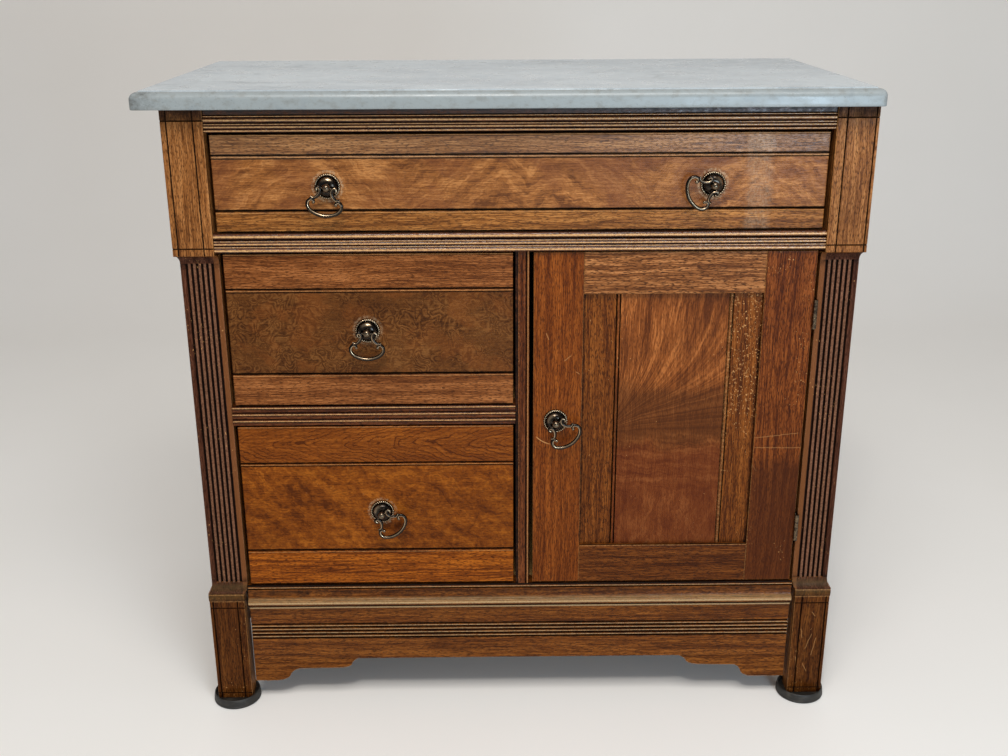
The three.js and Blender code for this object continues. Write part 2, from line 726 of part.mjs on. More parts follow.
function rod(points, radius, steps) {
  const path = new THREE.CatmullRomCurve3(points.map(([x, z]) => new THREE.Vector3(x, 0, z)));
  const section = new THREE.Shape();
  const sides = 6;
  for (let i = 0; i < sides; i += 1) {
    const angle = 2 * Math.PI * i / sides;
    const corner = [radius * Math.cos(angle), radius * Math.sin(angle)];
    if (i === 0) section.moveTo(...corner);
    else section.lineTo(...corner);
  }
  return new THREE.ExtrudeGeometry(section, { steps, extrudePath: path, bevelEnabled: false });
}

function smallBall(x, z, radius) {
  return new THREE.SphereGeometry(radius, 7, 5).translate(x, 0, z);
}

// Two scrolls hang from the bar, and an open oval grip hangs from the scrolls
const scrollPoints = [[10.6, -3.4], [11.3, -1.2], [9.6, 0.3], [7.3, -0.8], [6.4, -4.2], [7.6, -8], [10, -10.9],
  [12.6, -12], [15.2, -11.2], [17.4, -9.3]];
const gripPoints = [[13, -16], [13.3, -13.7], [15.9, -13.3], [18.6, -16], [19.3, -19.9], [17.9, -23.7],
  [13.8, -27.6], [7.5, -30.3], [0, -31.4]];

function bail() {
  const mirrored = (points) => points.map(([x, z]) => [-x, z]);
  const grip = [...gripPoints, ...mirrored(gripPoints).reverse().slice(1)];
  const [scrollEnd] = scrollPoints;
  const [gripEnd] = gripPoints;
  const barHalf = scrollPoints[3][0] - 0.2;
  return joined([
    rod([[-barHalf, 0], [0, 0], [barHalf, 0]], bailBar, 2),
    rod(scrollPoints, scrollRod, 15),
    rod(mirrored(scrollPoints), scrollRod, 15),
    rod(grip, gripRod, 26),
    smallBall(scrollEnd[0], scrollEnd[1], bailBall * 0.85),
    smallBall(-scrollEnd[0], scrollEnd[1], bailBall * 0.85),
    smallBall(gripEnd[0], gripEnd[1], bailBall),
    smallBall(-gripEnd[0], gripEnd[1], bailBall),
  ]);
}

// Puts a pull on a front whose face is at the given set-back; a positive turn swings the grip to the right
function pull(name, x, setBack, z, boardThickness, turn) {
  const mount = new THREE.Group();
  mount.position.set(x, setBack, z);
  mount.rotation.y = THREE.MathUtils.degToRad(-turn);
  cabinet.add(mount);
  place(`${name}_rosette`, rosette(boardThickness), 'bronze', mount);
  place(`${name}_bail`, bail().translate(0, -pivotStandOff, 0), 'bronze', mount);
}

function stemHole(x, z, front, thickness) {
  return new THREE.CylinderGeometry(stemRadius + joint, stemRadius + joint, thickness + 2 * over, 12)
    .translate(x, front + thickness / 2, z);
}

// Drawers: a moulded front, two sides, a back and a bottom board that slides in grooves
function drawerFace(height, topBand, bottomBand) {
  const nose = bead(2.4, 0, 1.6, 4);
  const upper = [nose, flat(topBand - heightOf([nose]), 0), groove(2.2, 0, 2.2), bead(2.4, 0, 0.8, 4),
    groove(1, fieldSetBack, 0.8)];
  const arris = bead(2.2, 0, 0.6, 4);
  const lower = [groove(3, fieldSetBack, 3), arris, flat(bottomBand - heightOf([arris]), 0)];
  const field = height - heightOf(upper) - heightOf(lower);
  return [...upper, flat(field, fieldSetBack), ...lower];
}

function drawer(name, left, right, bottom, height, topBand, bottomBand, pulls) {
  const back = drawerSetBack + drawerFrontThickness;
  const boxBack = backFront - drawerBackGap;
  const sideTop = bottom + height - drawerSideDrop;
  const grooveLow = bottom + drawerBottomRaise;
  const grooveHigh = grooveLow + drawerBottomThickness + joint;
  const leftInside = left + drawerSideThickness;
  const rightInside = right - drawerSideThickness;
  const grooveReach = drawerBottomTongue + joint;
  const front = alongX(
    mouldedOutline(drawerFace(height, topBand, bottomBand), drawerSetBack, bottom + height, back), left, right);
  const bottomGroove = box(leftInside - grooveReach, rightInside + grooveReach, back - grooveReach, boxBack + over,
    grooveLow - joint, grooveHigh);
  const holes = pulls.map(([x, z]) => stemHole(x, z, drawerSetBack, drawerFrontThickness));
  place(`${name}_front`, cut(front, [bottomGroove, ...holes]), 'frontWalnut');
  place(`${name}_side_left`, cut(box(left, leftInside, back, boxBack, bottom, sideTop), [bottomGroove]), 'poplar');
  place(`${name}_side_right`, cut(box(rightInside, right, back, boxBack, bottom, sideTop), [bottomGroove]),
    'poplar');
  place(`${name}_back`, box(leftInside, rightInside, boxBack - drawerSideThickness, boxBack, grooveHigh, sideTop),
    'poplar');
  place(`${name}_bottom`, box(leftInside - drawerBottomTongue, rightInside + drawerBottomTongue,
    back - drawerBottomTongue, boxBack, grooveLow, grooveLow + drawerBottomThickness), 'poplar');
}

const topPullZ = topDrawerBottom + topPullHeight;
const upperPullX = smallDrawerLeft + upperPullAcross;
const upperPullZ = upperDrawerBottom + upperPullHeight;
const lowerPullX = smallDrawerLeft + lowerPullAcross;
const lowerPullZ = lowerDrawerBottom + lowerPullHeight;
const doorPullX = doorLeft + doorPullAcross;
const doorPullZ = doorBottom + doorPullHeight;

drawer('top_drawer', -topDrawerHalf, topDrawerHalf, topDrawerBottom, topDrawerHeight, topDrawerTopBand,
  topDrawerBottomBand, [[-topPullSpread, topPullZ], [topPullSpread, topPullZ]]);
drawer('upper_drawer', smallDrawerLeft, smallDrawerRight, upperDrawerBottom, upperDrawerHeight,
  upperDrawerTopBand, upperDrawerBottomBand, [[upperPullX, upperPullZ]]);
drawer('lower_drawer', smallDrawerLeft, smallDrawerRight, lowerDrawerBottom, lowerDrawerHeight,
  lowerDrawerTopBand, lowerDrawerBottomBand, [[lowerPullX, lowerPullZ]]);

const pullSeat = drawerSetBack + fieldSetBack;
const pullBoard = drawerFrontThickness - fieldSetBack;
pull('top_drawer_left', -topPullSpread, pullSeat, topPullZ, pullBoard, topLeftTurn);
pull('top_drawer_right', topPullSpread, pullSeat, topPullZ, pullBoard, topRightTurn);
pull('upper_drawer', upperPullX, pullSeat, upperPullZ, pullBoard, upperTurn);
pull('lower_drawer', lowerPullX, pullSeat, lowerPullZ, pullBoard, lowerTurn);

// Door: two stiles, two rails and a panel of three beaded boards
function door() {
  const back = doorSetBack + doorThickness;
  const stileInsideLeft = doorLeft + doorStileWidth;
  const stileInsideRight = doorRight - doorStileWidth;
  const openingBottom = doorBottom + doorRailHeight;
  const openingTop = doorTop - doorRailHeight;
  const panelFront = doorSetBack + doorPanelRecess;
  const panelBack = panelFront + doorPanelThickness;
  const reach = panelTongue + joint;
  const grooveBox = box(stileInsideLeft - reach, stileInsideRight + reach, panelFront - joint,
    panelBack + joint, openingBottom - reach, openingTop + reach);
  const hole = stemHole(doorPullX, doorPullZ, doorSetBack, doorThickness);
  place('door_latch_stile', cut(box(doorLeft, stileInsideLeft, doorSetBack, back, doorBottom, doorTop),
    [grooveBox, hole]), 'frontWalnut');
  place('door_hinge_stile', cut(box(stileInsideRight, doorRight, doorSetBack, back, doorBottom, doorTop),
    [grooveBox]), 'frontWalnut');
  place('door_top_rail', cut(box(stileInsideLeft, stileInsideRight, doorSetBack, back, openingTop, doorTop),
    [grooveBox]), 'frontWalnut');
  place('door_bottom_rail', cut(box(stileInsideLeft, stileInsideRight, doorSetBack, back, doorBottom,
    openingBottom), [grooveBox]), 'frontWalnut');
  const panel = box(stileInsideLeft - panelTongue, stileInsideRight + panelTongue, panelFront, panelBack,
    openingBottom - panelTongue, openingTop + panelTongue);
  const beadLines = [];
  for (const across of [doorBoardLeft, doorBoardRight]) {
    for (const side of [-1, 1]) {
      beadLines.push(lineUp(doorLeft + across + side * doorBeadWidth / 2, panelFront,
        openingBottom - panelTongue, openingTop + panelTongue, doorLineWidth, doorLineDepth));
    }
  }
  place('door_panel', cut(panel, beadLines), 'panelWalnut');
  pull('door', doorPullX, doorSetBack, doorPullZ, doorThickness, doorTurn);
}

door();

// Butt hinges: the frame's leaf carries the odd knuckles and the pin, the door's leaf the even ones
function hinge(word, middle) {
  const knuckle = hingeLength / knuckleCount;
  const low = middle - hingeLength / 2;
  const cylinder = (radius, z0, z1, sides) => new THREE.CylinderGeometry(radius, radius, z1 - z0, sides)
    .rotateX(Math.PI / 2).translate(hingeAxisX, hingeAxisY, (z0 + z1) / 2);
  const leaf = (side) => {
    const inner = doorHingeGap / 2 - leafThickness;
    const plate = box(hingeAxisX + side * inner, hingeAxisX + side * (inner + leafThickness), hingeAxisY,
      hingeAxisY + leafDepth, low, low + hingeLength);
    const pieces = [plate];
    const clearings = [];
    for (let i = 0; i < knuckleCount; i += 1) {
      const own = (i % 2 === 0) === (side > 0);
      const z0 = low + i * knuckle;
      if (own) {
        const top = i === knuckleCount - 1 ? z0 + knuckle : z0 + knuckle - joint;
        pieces.push(cylinder(barrelRadius, z0, top, 14));
      } else {
        clearings.push(box(hingeAxisX - 2 * barrelRadius, hingeAxisX + 2 * barrelRadius,
          hingeAxisY - barrelRadius - over, hingeAxisY + barrelRadius + joint, z0 - joint, z0 + knuckle));
      }
    }
    if (side > 0) {
      const pin = cylinder(hingePinRadius, low + over, low + hingeLength - over, 10);
      return joined([cut(joined(pieces), clearings), pin]);
    }
    const bore = cylinder(hingeBoreRadius, low - over, low + hingeLength + over, 14);
    return cut(joined(pieces), [...clearings, bore]);
  };
  place(`hinge_${word}_frame_leaf`, leaf(1), 'bronze');
  place(`hinge_${word}_door_leaf`, leaf(-1), 'bronze');
}

hinge('upper', hingeUpper);
hinge('lower', hingeLower);

// Rubber cups, one under each leg
function footCup(x, y) {
  const wallRoot = cupInnerRadius - 0.6;
  const profile = [[0, 0], [cupBaseRadius - 1, 0], [cupBaseRadius, 1], [cupBaseRadius, 3],
    [cupRimRadius, cupHeight - 1], [cupRimRadius - 0.6, cupHeight], [cupInnerRadius + 0.4, cupHeight],
    [cupInnerRadius, cupHeight - 0.7], [wallRoot, cupFloor], [0, cupFloor]];
  return new THREE.LatheGeometry(profile.map(([r, z]) => new THREE.Vector2(r, z)), 28)
    .rotateX(Math.PI / 2).translate(x, y, 0);
}

const footMiddle = (footInner + footOuter) / 2;
const footMiddleY = (footSetBack + frontThickness) / 2;
const rearMiddle = (rearPostInner + sideOuter) / 2;
const rearMiddleY = (rearPostFront + caseDepth) / 2;
place('foot_cup_front_left', footCup(-footMiddle - cupShiftLeft, footMiddleY), 'rubber');
place('foot_cup_front_right', footCup(footMiddle - cupShiftRight, footMiddleY), 'rubber');
place('foot_cup_rear_left', footCup(-rearMiddle, rearMiddleY - cupShiftRear), 'rubber');
place('foot_cup_rear_right', footCup(rearMiddle, rearMiddleY - cupShiftRear), 'rubber');

// Move the middle of the footprint to the origin
cabinet.updateMatrixWorld(true);
const extent = new THREE.Box3().setFromObject(cabinet, true);
const washstand = new THREE.Group();
washstand.add(cabinet);
cabinet.position.set(-(extent.min.x + extent.max.x) / 2, -(extent.min.y + extent.max.y) / 2, 0);
washstand.updateMatrixWorld(true);

export default washstand;
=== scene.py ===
import math

import bmesh
import bpy
from mathutils import Matrix, Vector, noise


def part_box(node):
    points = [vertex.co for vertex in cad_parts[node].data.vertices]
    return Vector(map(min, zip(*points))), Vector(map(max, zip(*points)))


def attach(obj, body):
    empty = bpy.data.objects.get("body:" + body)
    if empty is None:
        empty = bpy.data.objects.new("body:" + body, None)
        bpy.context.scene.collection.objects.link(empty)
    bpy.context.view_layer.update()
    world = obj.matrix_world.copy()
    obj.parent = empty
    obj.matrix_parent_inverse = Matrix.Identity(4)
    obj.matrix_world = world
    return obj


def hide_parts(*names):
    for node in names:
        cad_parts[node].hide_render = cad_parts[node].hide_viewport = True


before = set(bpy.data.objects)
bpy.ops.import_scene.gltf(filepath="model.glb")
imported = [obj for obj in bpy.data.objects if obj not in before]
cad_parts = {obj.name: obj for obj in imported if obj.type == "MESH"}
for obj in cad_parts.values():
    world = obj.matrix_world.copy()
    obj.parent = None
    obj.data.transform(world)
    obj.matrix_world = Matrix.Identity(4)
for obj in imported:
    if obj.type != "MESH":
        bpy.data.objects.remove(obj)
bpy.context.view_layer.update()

# Shapes are written in millimetres of the case: X from its middle, Y back from the corner blocks'
# faces, Z up from the floor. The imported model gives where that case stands, in metres.
left_stile_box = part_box("front_stile_left")
right_stile_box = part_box("front_stile_right")
MIDDLE_X = (left_stile_box[0].x + right_stile_box[1].x) / 2
FRONT_Y = left_stile_box[0].y


def in_metres(point):
    x, y, z = point
    return (MIDDLE_X + x / 1000, FRONT_Y + y / 1000, z / 1000)


def in_case(corner):
    return ((corner.x - MIDDLE_X) * 1000, (corner.y - FRONT_Y) * 1000, corner.z * 1000)


def case_box(node):
    low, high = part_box(node)
    return in_case(low), in_case(high)


# Mesh shapes. Each point also carries how much grime and painted shade lies on it, and how much wear and
# painted light it has.
class Shape:
    def __init__(self):
        self.points = []
        self.grime_and_shade = []
        self.wear_and_painted_light = []
        self.faces = []
        self.zones = []

    def point(self, x, y, z, grime_and_shade=0.0, wear_and_painted_light=0.0):
        self.points.append((x, y, z))
        self.grime_and_shade.append(min(max(grime_and_shade, 0.0), 1.0))
        self.wear_and_painted_light.append(min(max(wear_and_painted_light, 0.0), 1.0))
        return len(self.points) - 1

    def face(self, corners, zone=0):
        self.faces.append(corners)
        self.zones.append(zone)

    def strip(self, first, second, closed=True):
        """A row of faces between two rows of points."""
        count = len(first)
        for i in range(count if closed else count - 1):
            after = (i + 1) % count
            self.face((first[i], first[after], second[after], second[i]))


def make_piece(name, shape, materials, body, nodes, sharp=40.0, placed=lambda point: point):
    """A visible piece on a body, in place of CAD nodes. Arrises sharper than an angle stay sharp."""
    mesh = bpy.data.meshes.new(name)
    mesh.from_pydata([in_metres(placed(point)) for point in shape.points], [], shape.faces)
    for label, values in (("grime_and_shade", shape.grime_and_shade), ("wear_and_painted_light", shape.wear_and_painted_light)):
        layer = mesh.attributes.new(label, "FLOAT", "POINT")
        layer.data.foreach_set("value", values)
    for material in materials:
        mesh.materials.append(material)
    mesh.polygons.foreach_set("material_index", shape.zones)
    work = bmesh.new()
    work.from_mesh(mesh)
    bmesh.ops.remove_doubles(work, verts=work.verts, dist=1e-7)
    bmesh.ops.recalc_face_normals(work, faces=work.faces)
    work.to_mesh(mesh)
    work.free()
    mesh.shade_smooth()
    mesh.set_sharp_from_angle(angle=math.radians(sharp))
    piece = bpy.data.objects.new(name, mesh)
    bpy.context.scene.collection.objects.link(piece)
    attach(piece, body)
    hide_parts(*nodes)


def smooth_noise(x, y, z, size):
    return noise.noise(Vector((x / size, y / size, z / size)))


def evenly(start, end, count):
    """Evenly spaced values from start to end, both included."""
    return [start + (end - start) * i / count for i in range(count + 1)]


def spread(start, end, step):
    """Evenly spaced values from start to end, about a step apart."""
    return evenly(start, end, max(1, math.ceil(abs(end - start) / step)))


def with_rounded_ends(start, end, step, radius):
    """Values from start to end, closer together where the ends are rounded off."""
    near = [radius * share for share in (0, 0.12, 0.35, 0.65, 1.0, 2.2, 4.0)]
    inner = spread(start + 6 * radius, end - 6 * radius, step)
    return [start + n for n in near] + inner + [end - n for n in reversed(near)]


def rounding(distance, radius):
    """How far a rounded arris falls back at a distance from its edge."""
    if distance >= radius:
        return 0.0
    short = radius - max(distance, 0.0)
    return radius - math.sqrt(max(radius * radius - short * short, 0.0))


def relief_board(shape, columns, rows, surface, back, zone=None, wall_shade=lambda x: 0.25):
    """A front worked over a grid of columns and rows, with walls that run straight back. Beside the front the
    walls are darkened as much as the given wall value says: a painted shade in the gaps between parts.
    Behind, they are as clean as the back is."""
    shaded_depth, clean_depth, clean = 2.5, 4.0, 0.1
    grid = [[shape.point(*surface(u, v)) for u in columns] for v in rows]
    for j in range(len(rows) - 1):
        number = zone(j) if zone else 0
        for i in range(len(columns) - 1):
            shape.face((grid[j][i], grid[j][i + 1], grid[j + 1][i + 1], grid[j + 1][i]), number)
    border = grid[0] + [row[-1] for row in grid[1:]] + grid[-1][-2::-1] + [row[0] for row in grid[-2:0:-1]]
    previous = border
    for depth in (shaded_depth, clean_depth, None):
        ring = []
        for index in border:
            x, y, z = shape.points[index]
            level = min(y + depth, back - 0.1) if depth else back
            ring.append(shape.point(x, level, z, wall_shade(x) if depth == shaded_depth else clean))
        shape.strip(previous, ring)
        previous = ring
    shape.face(tuple(previous))


# Mouldings: lists of (drop, set-back, grime and shade, wear and painted light) from the top edge to the
# bottom edge. Grooves and creases are darkened with grime and painted shade, and crests are tinted pale with
# wear and painted highlights.
def flat(height, set_back, top=0.3, bottom=0.3, worn=0.0):
    fade = min(1.6, height * 0.3)
    return [(0, set_back, top, worn), (fade, set_back, 0, 0), (height - fade, set_back, 0, 0),
            (height, set_back, bottom, worn)]


def bead(height, set_back, relief, steps=10):
    points = []
    for i in range(steps + 1):
        angle = math.pi * i / steps
        swell = math.sin(angle)
        # The sides of the bead are darkened with grime and painted shade, and its crest is tinted pale with
        # wear and a painted highlight
        points.append((height * (1 - math.cos(angle)) / 2, set_back + relief * (1 - swell),
                       0.9 * (1 - swell) ** 1.5, swell ** 6))
    return points


def groove(height, set_back, depth):
    # The hollow of the groove is darkened with grime and painted shade
    return [(0, set_back, 0.35, 0.5), (height * 0.3, set_back + depth * 0.75, 1, 0),
            (height * 0.5, set_back + depth, 1, 0), (height * 0.7, set_back + depth * 0.75, 1, 0),
            (height, set_back, 0.35, 0.5)]


def cove(height, set_top, set_bottom):
    points = []
    for share in evenly(0, 1, 8):
        angle = math.pi / 2 * share
        points.append((height * math.sin(angle), set_top + (set_bottom - set_top) * (1 - math.cos(angle)),
                       0.5 * (1 - share), 0.6 * share ** 3))
    return points


def moulding_rows(mouldings, top):
    """Rows (height, set-back, grime and shade, wear and painted light) for mouldings one under the other."""
    rows = []
    level = top
    for moulding in mouldings:
        for drop, set_back, grime_and_shade, wear_and_painted_light in moulding:
            row = (level - drop, set_back, grime_and_shade, wear_and_painted_light)
            if rows and abs(rows[-1][0] - row[0]) < 1e-3 and abs(rows[-1][1] - row[1]) < 1e-3:
                rows[-1] = (row[0], row[1], max(rows[-1][2], grime_and_shade), max(rows[-1][3], wear_and_painted_light))
            else:
                rows.append(row)
        level -= moulding[-1][0]
    return rows


def height_of(mouldings):
    return sum(moulding[-1][0] for moulding in mouldings)


def nick(x, z, seed):
    """Depth of small dents, scattered along an edge."""
    found = noise.noise(Vector((x / 7 + seed, z / 5, seed * 1.7)))
    return max(0.0, found - 0.42) * 2.2


def moulded_board(shape, rows, x0, x1, face, back, seed, arris=0.8, step=6.0, zone=None, wall_shade=0.6):
    """A board along X whose face follows the rows of its mouldings."""
    columns = with_rounded_ends(x0, x1, step, arris)

    def surface(x, row):
        z, set_back, grime_and_shade, wear_and_painted_light = row
        end = min(x - x0, x1 - x)
        wave = 0.12 * smooth_noise(x, z, seed * 10, 45)
        dent = nick(x, z, seed) * 0.5 * wear_and_painted_light
        y = face + set_back + rounding(end, arris) + wave + dent
        edge = max(0.0, 1 - end / (2.5 * arris))
        return (x, y, z, max(grime_and_shade, edge * 0.35), max(wear_and_painted_light, edge * 0.4))

    relief_board(shape, columns, rows, surface, back, zone, lambda x: wall_shade)


# Materials
def colour(text):
    """The linear colour of a web colour."""
    values = [int(text[i:i + 2], 16) / 255 for i in (1, 3, 5)]
    return tuple(v / 12.92 if v <= 0.04045 else ((v + 0.055) / 1.055) ** 2.4 for v in values) + (1.0,)


class Signal:
    """A node's output, which can be added, subtracted and multiplied."""

    def __init__(self, graph, socket):
        self.graph = graph
        self.socket = socket

    def __add__(self, other):
        return self.graph.math("ADD", self, other)

    def __radd__(self, other):
        return self.graph.math("ADD", other, self)

    def __sub__(self, other):
        return self.graph.math("SUBTRACT", self, other)

    def __rsub__(self, other):
        return self.graph.math("SUBTRACT", other, self)

    def __mul__(self, other):
        return self.graph.math("MULTIPLY", self, other)

    def __abs__(self):
        return self.graph.math("ABSOLUTE", self)


class Graph:
    """A material's nodes, written as calls. Its place, x, y and z are in millimetres of the case."""

    def __init__(self, name):
        self.material = bpy.data.materials.new(name)
        self.material.use_nodes = True
        self.tree = self.material.node_tree
        self.tree.nodes.clear()
        self.metres = self.node("ShaderNodeTexCoord", {}, "Object")
        shifted = self.vector("SUBTRACT", self.metres, (MIDDLE_X, FRONT_Y, 0.0))
        self.place = self.vector("MULTIPLY", shifted, (1000.0, 1000.0, 1000.0))
        parts = self.node("ShaderNodeSeparateXYZ", {0: self.place}).socket.node.outputs
        self.x, self.y, self.z = [Signal(self, part) for part in parts]

    def node(self, kind, inputs, output=0, **settings):
        """Adds a node and returns its output. An input is a signal, a value or a web colour."""
        made = self.tree.nodes.new(kind)
        for key, value in settings.items():
            setattr(made, key, value)
        for key, value in inputs.items():
            if isinstance(value, Signal):
                self.tree.links.new(value.socket, made.inputs[key])
            else:
                made.inputs[key].default_value = colour(value) if isinstance(value, str) else value
        return Signal(self, made.outputs[output])

    def math(self, operation, first, second=0.0):
        return self.node("ShaderNodeMath", {0: first, 1: second}, operation=operation)

    def root_of_squares(self, first, second):
        return self.math("SQRT", first * first + second * second)

    def vector(self, operation, first, second):
        return self.node("ShaderNodeVectorMath", {0: first, 1: second}, operation=operation)

    def joined(self, x, y, z):
        return self.node("ShaderNodeCombineXYZ", {0: x, 1: y, 2: z})

    def noise(self, point, size, detail=2.0, roughness=0.5, distortion=0.0, output=0):
        """Noise with lumps of about this size, or of these sizes along X, Y and Z."""
        x, y, z = size if isinstance(size, tuple) else (size, size, size)
        shrunk = self.vector("MULTIPLY", point, (1 / x, 1 / y, 1 / z))
        return self.node("ShaderNodeTexNoise", {"Vector": shrunk, "Scale": 1.0, "Detail": detail,
                                                "Roughness": roughness, "Distortion": distortion}, output)

    def warped(self, size, strength, detail=2.0):
        return (self.noise(self.place, size, detail, 0.6) - 0.5) * strength

    def between(self, value, low, high, start=0.0, end=1.0, steps="SMOOTHSTEP"):
        return self.node("ShaderNodeMapRange", {"Value": value, "From Min": low, "From Max": high,
                                                "To Min": start, "To Max": end}, interpolation_type=steps)

    def linear(self, value, low, high, start=0.0, end=1.0):
        return self.between(value, low, high, start, end, "LINEAR")

    def within(self, value, low, high, soft):
        return self.between(value, low - soft, low + soft) * self.between(value, high + soft, high - soft)

    def mix(self, share, first, second):
        return self.node("ShaderNodeMix", {0: share, 6: first, 7: second}, 2, data_type="RGBA")

    def attribute(self, label):
        return self.node("ShaderNodeAttribute", {}, "Fac", attribute_name=label)

    def finish(self, base, roughness, height=None, bump=0.2, depth=0.0002, metallic=0.0, specular=0.5,
               coat=0.0, coat_roughness=0.2):
        inputs = {"Base Color": base, "Roughness": roughness, "Metallic": metallic,
                  "Specular IOR Level": specular, "Coat Weight": coat, "Coat Roughness": coat_roughness}
        if height is not None:
            inputs["Normal"] = self.node("ShaderNodeBump", {"Height": height, "Strength": bump,
                                                            "Distance": depth})
        shader = self.node("ShaderNodeBsdfPrincipled", inputs)
        output = self.tree.nodes.new("ShaderNodeOutputMaterial")
        self.tree.links.new(shader.socket, output.inputs["Surface"])
        return self.material


# The near black darkens grime and painted shade; the worn and golden tints are for wear and for painted
# highlights on crests
GRIME_AND_SHADE = "#080301"
WORN_AND_HIGHLIGHT = "#c08a54"
GOLDEN = "#dfab70"
FLECK = "#c89058"
HALO = "#d9bd97"
# A wood's lighter and darker streaks are its middle colour times these
LIGHTER = (1.75, 2.05, 2.6)
DARKER = (0.4, 0.35, 0.33)
PORE_SHADE = (0.5, 0.5, 0.5)


def scaled(tint, factors):
    return tuple(channel * factor for channel, factor in zip(tint, factors)) + (1.0,)


def walnut(name, tone, grain, seed, figure=None, share=0.5, contrast=1.0, gloss=0.34, pores=0.7,
           shine=0.09, specks=None, wear_and_painted_light=1.0, worn_and_highlight_tint=WORN_AND_HIGHLIGHT, after=()):
    """Varnished wood whose grain runs along X, Y or Z. The figure gives bands from 0 to 1, the specks give
    where pale flecks lie, and each repaint of after changes the tint. Each of these is a function with
    its values, such as (scattered, 0.5)."""
    g = Graph(name)
    middle = colour(tone)
    light, dark = scaled(middle, LIGHTER), scaled(middle, DARKER)
    x, y, z = g.x, g.y, g.z
    along, across, inward = {"x": (x, z, y), "y": (y, z, x), "z": (z, x, y)}[grain]
    point = g.joined(along + seed * 137.0, across + seed * 59.0, inward + seed * 83.0)
    bend = (g.noise(point, (160, 70, 70), 1.0) - 0.5) * 14.0
    waved = g.vector("ADD", point, g.joined(0.0, bend, 0.0))
    streak = g.noise(waved, (200, 6, 6), 3.0, 0.6)
    fibre = g.noise(waved, (26, 1.15, 1.15), 3.0, 0.65)
    pore = g.between(g.noise(waved, (5.5, 1.0, 1.0), 1.0), 0.52, 0.62)
    value = (streak - 0.5) * (1.9 * contrast) + (fibre - 0.5) * (2.9 * contrast)
    if figure:
        bands = figure[0](g, *figure[1:])
        value = value * (1 - 0.5 * share) + (bands - 0.5) * share
    value = value + 0.5
    tint = g.mix(g.between(value, 0.05, 0.5), dark, middle)
    tint = g.mix(g.between(value, 0.45, 0.95), tint, light)
    cloud = g.noise(point, (110, 50, 50))
    tint = g.mix(g.linear(cloud, 0.3, 0.7, 0.3, 0.0), tint, dark)
    tint = g.mix(pore * pores, tint, scaled(dark, PORE_SHADE))
    for repaint, *values in after:
        tint = repaint(g, tint, *values)
    patch = g.noise(g.place, 9, 3.0, 0.7)
    fine = g.noise(g.place, 2.2, 2.0, 0.7)
    # Grime and painted shade darken the wood towards near black; wear and painted highlights tint it pale
    stain_and_shade = g.between(g.attribute("grime_and_shade") + (patch - 0.5) * 0.9, 0.12, 0.85, 0.0, 0.95)
    tint = g.mix(stain_and_shade, tint, GRIME_AND_SHADE)
    bare_and_highlit = g.between(g.attribute("wear_and_painted_light") * 0.9 + (fine - 0.5) * 0.7, 0.4, 0.95, 0.0, 0.75 * wear_and_painted_light)
    tint = g.mix(bare_and_highlit, tint, worn_and_highlight_tint)
    if specks:
        chip = g.noise(g.place, (1.9, 1.9, 2.6), 2.0, 0.6)
        needed = g.linear(specks[0](g, *specks[1:]), 0.0, 1.0, 0.82, 0.6)
        tint = g.mix(g.between(chip - needed, 0.0, 0.05, 0.0, 0.85), tint, FLECK)
    rough = g.linear(patch, 0.2, 0.8, gloss - 0.08, gloss + 0.1) + stain_and_shade * 0.25
    height = fibre * 0.5 + fine * 0.35 - pore * 0.8
    return g.finish(tint, rough, height, bump=0.3, depth=0.0005, specular=shine)


# Figures of the veneers and boards
def along_run(g, run, side, broad, fine, reach=70.0):
    """Irregular bands and fine lines that follow a run of level lines."""
    point = g.joined(run, side, g.y)
    wide = g.noise(point, (broad, reach, reach))
    thin = g.noise(point, (fine, reach / 2, reach / 2), 3.0, 0.65)
    return (wide - 0.5) * 2.0 + (thin - 0.5) * 1.4 + 0.5


def feather_figure(g, middle_x, period, slope, crest):
    """Level lines that rise and fall on both sides of a middle line, as in veneer opened like a book."""
    side = abs(g.x - middle_x)
    swing = g.math("PINGPONG", side - crest, period / 2)
    bands = along_run(g, g.z + swing * slope + g.warped(34, 46, 3.0), side, 15.0, 2.8)
    return bands + (g.noise(g.place, 8, 4.0, 0.7, 0.6) - 0.5)


def burl_figure(g, size, turns, swirl):
    """Rings of thin light and dark lines round many small eyes."""
    level = g.noise(g.place, size, 1.5, 0.45, swirl)
    wave = g.math("SINE", level * (2 * math.pi * turns))
    clusters = g.between(g.noise(g.place, (34, 30, 30)), 0.38, 0.55, 0.3, 1.0)
    fine = g.noise(g.place, 2.4, 3.0, 0.7, 1.0)
    broad = g.noise(g.place, (60, 40, 46), 3.0, 0.6)
    return wave * clusters * 0.3 + (fine - 0.5) * 1.1 + (broad - 0.5) * 1.1 + 0.5


def mottled_figure(g, size, slant):
    """Soft clouds with short slanting lines."""
    bands = along_run(g, g.z + g.x * slant + g.warped(30, 46, 3.0), g.x, size, 3.0, 60.0)
    mottle = g.noise(g.place, 9, 4.0, 0.7, 0.8)
    return (bands - 0.5) * 0.7 + (mottle - 0.5) * 1.8 + 0.5


def chevron_figure(g, axis_z, knot_x, lean, spacing):
    """Thin dark lines of flat-sawn wood: points that look to the left, and rings round a knot."""
    off = g.z - axis_z + g.warped(70, 22, 1.0)
    points = g.x - g.math("SQRT", off * off + 6.0) * lean
    ring = g.root_of_squares(g.x - knot_x, off * 2.2)
    at_knot = g.between(ring, 30.0, 12.0)
    run = points * (1.0 - at_knot) + (knot_x - 8 - ring) * at_knot + g.warped(20, 44, 4.0)
    wide = g.noise(g.joined(run, 0.0, 0.0), 70)
    phase = g.math("FRACT", run * (1 / spacing) + wide * 2.5)
    line = g.between(abs(phase - 0.5), 0.3, 0.5)
    faded = g.between(g.noise(g.place, (40, 12, 12)), 0.35, 0.6, 0.25, 1.0)
    shade = g.noise(g.joined(run, off, g.y), (14, 60, 60), 3.0, 0.6)
    return 0.62 - line * faded * 0.85 + (shade - 0.5)


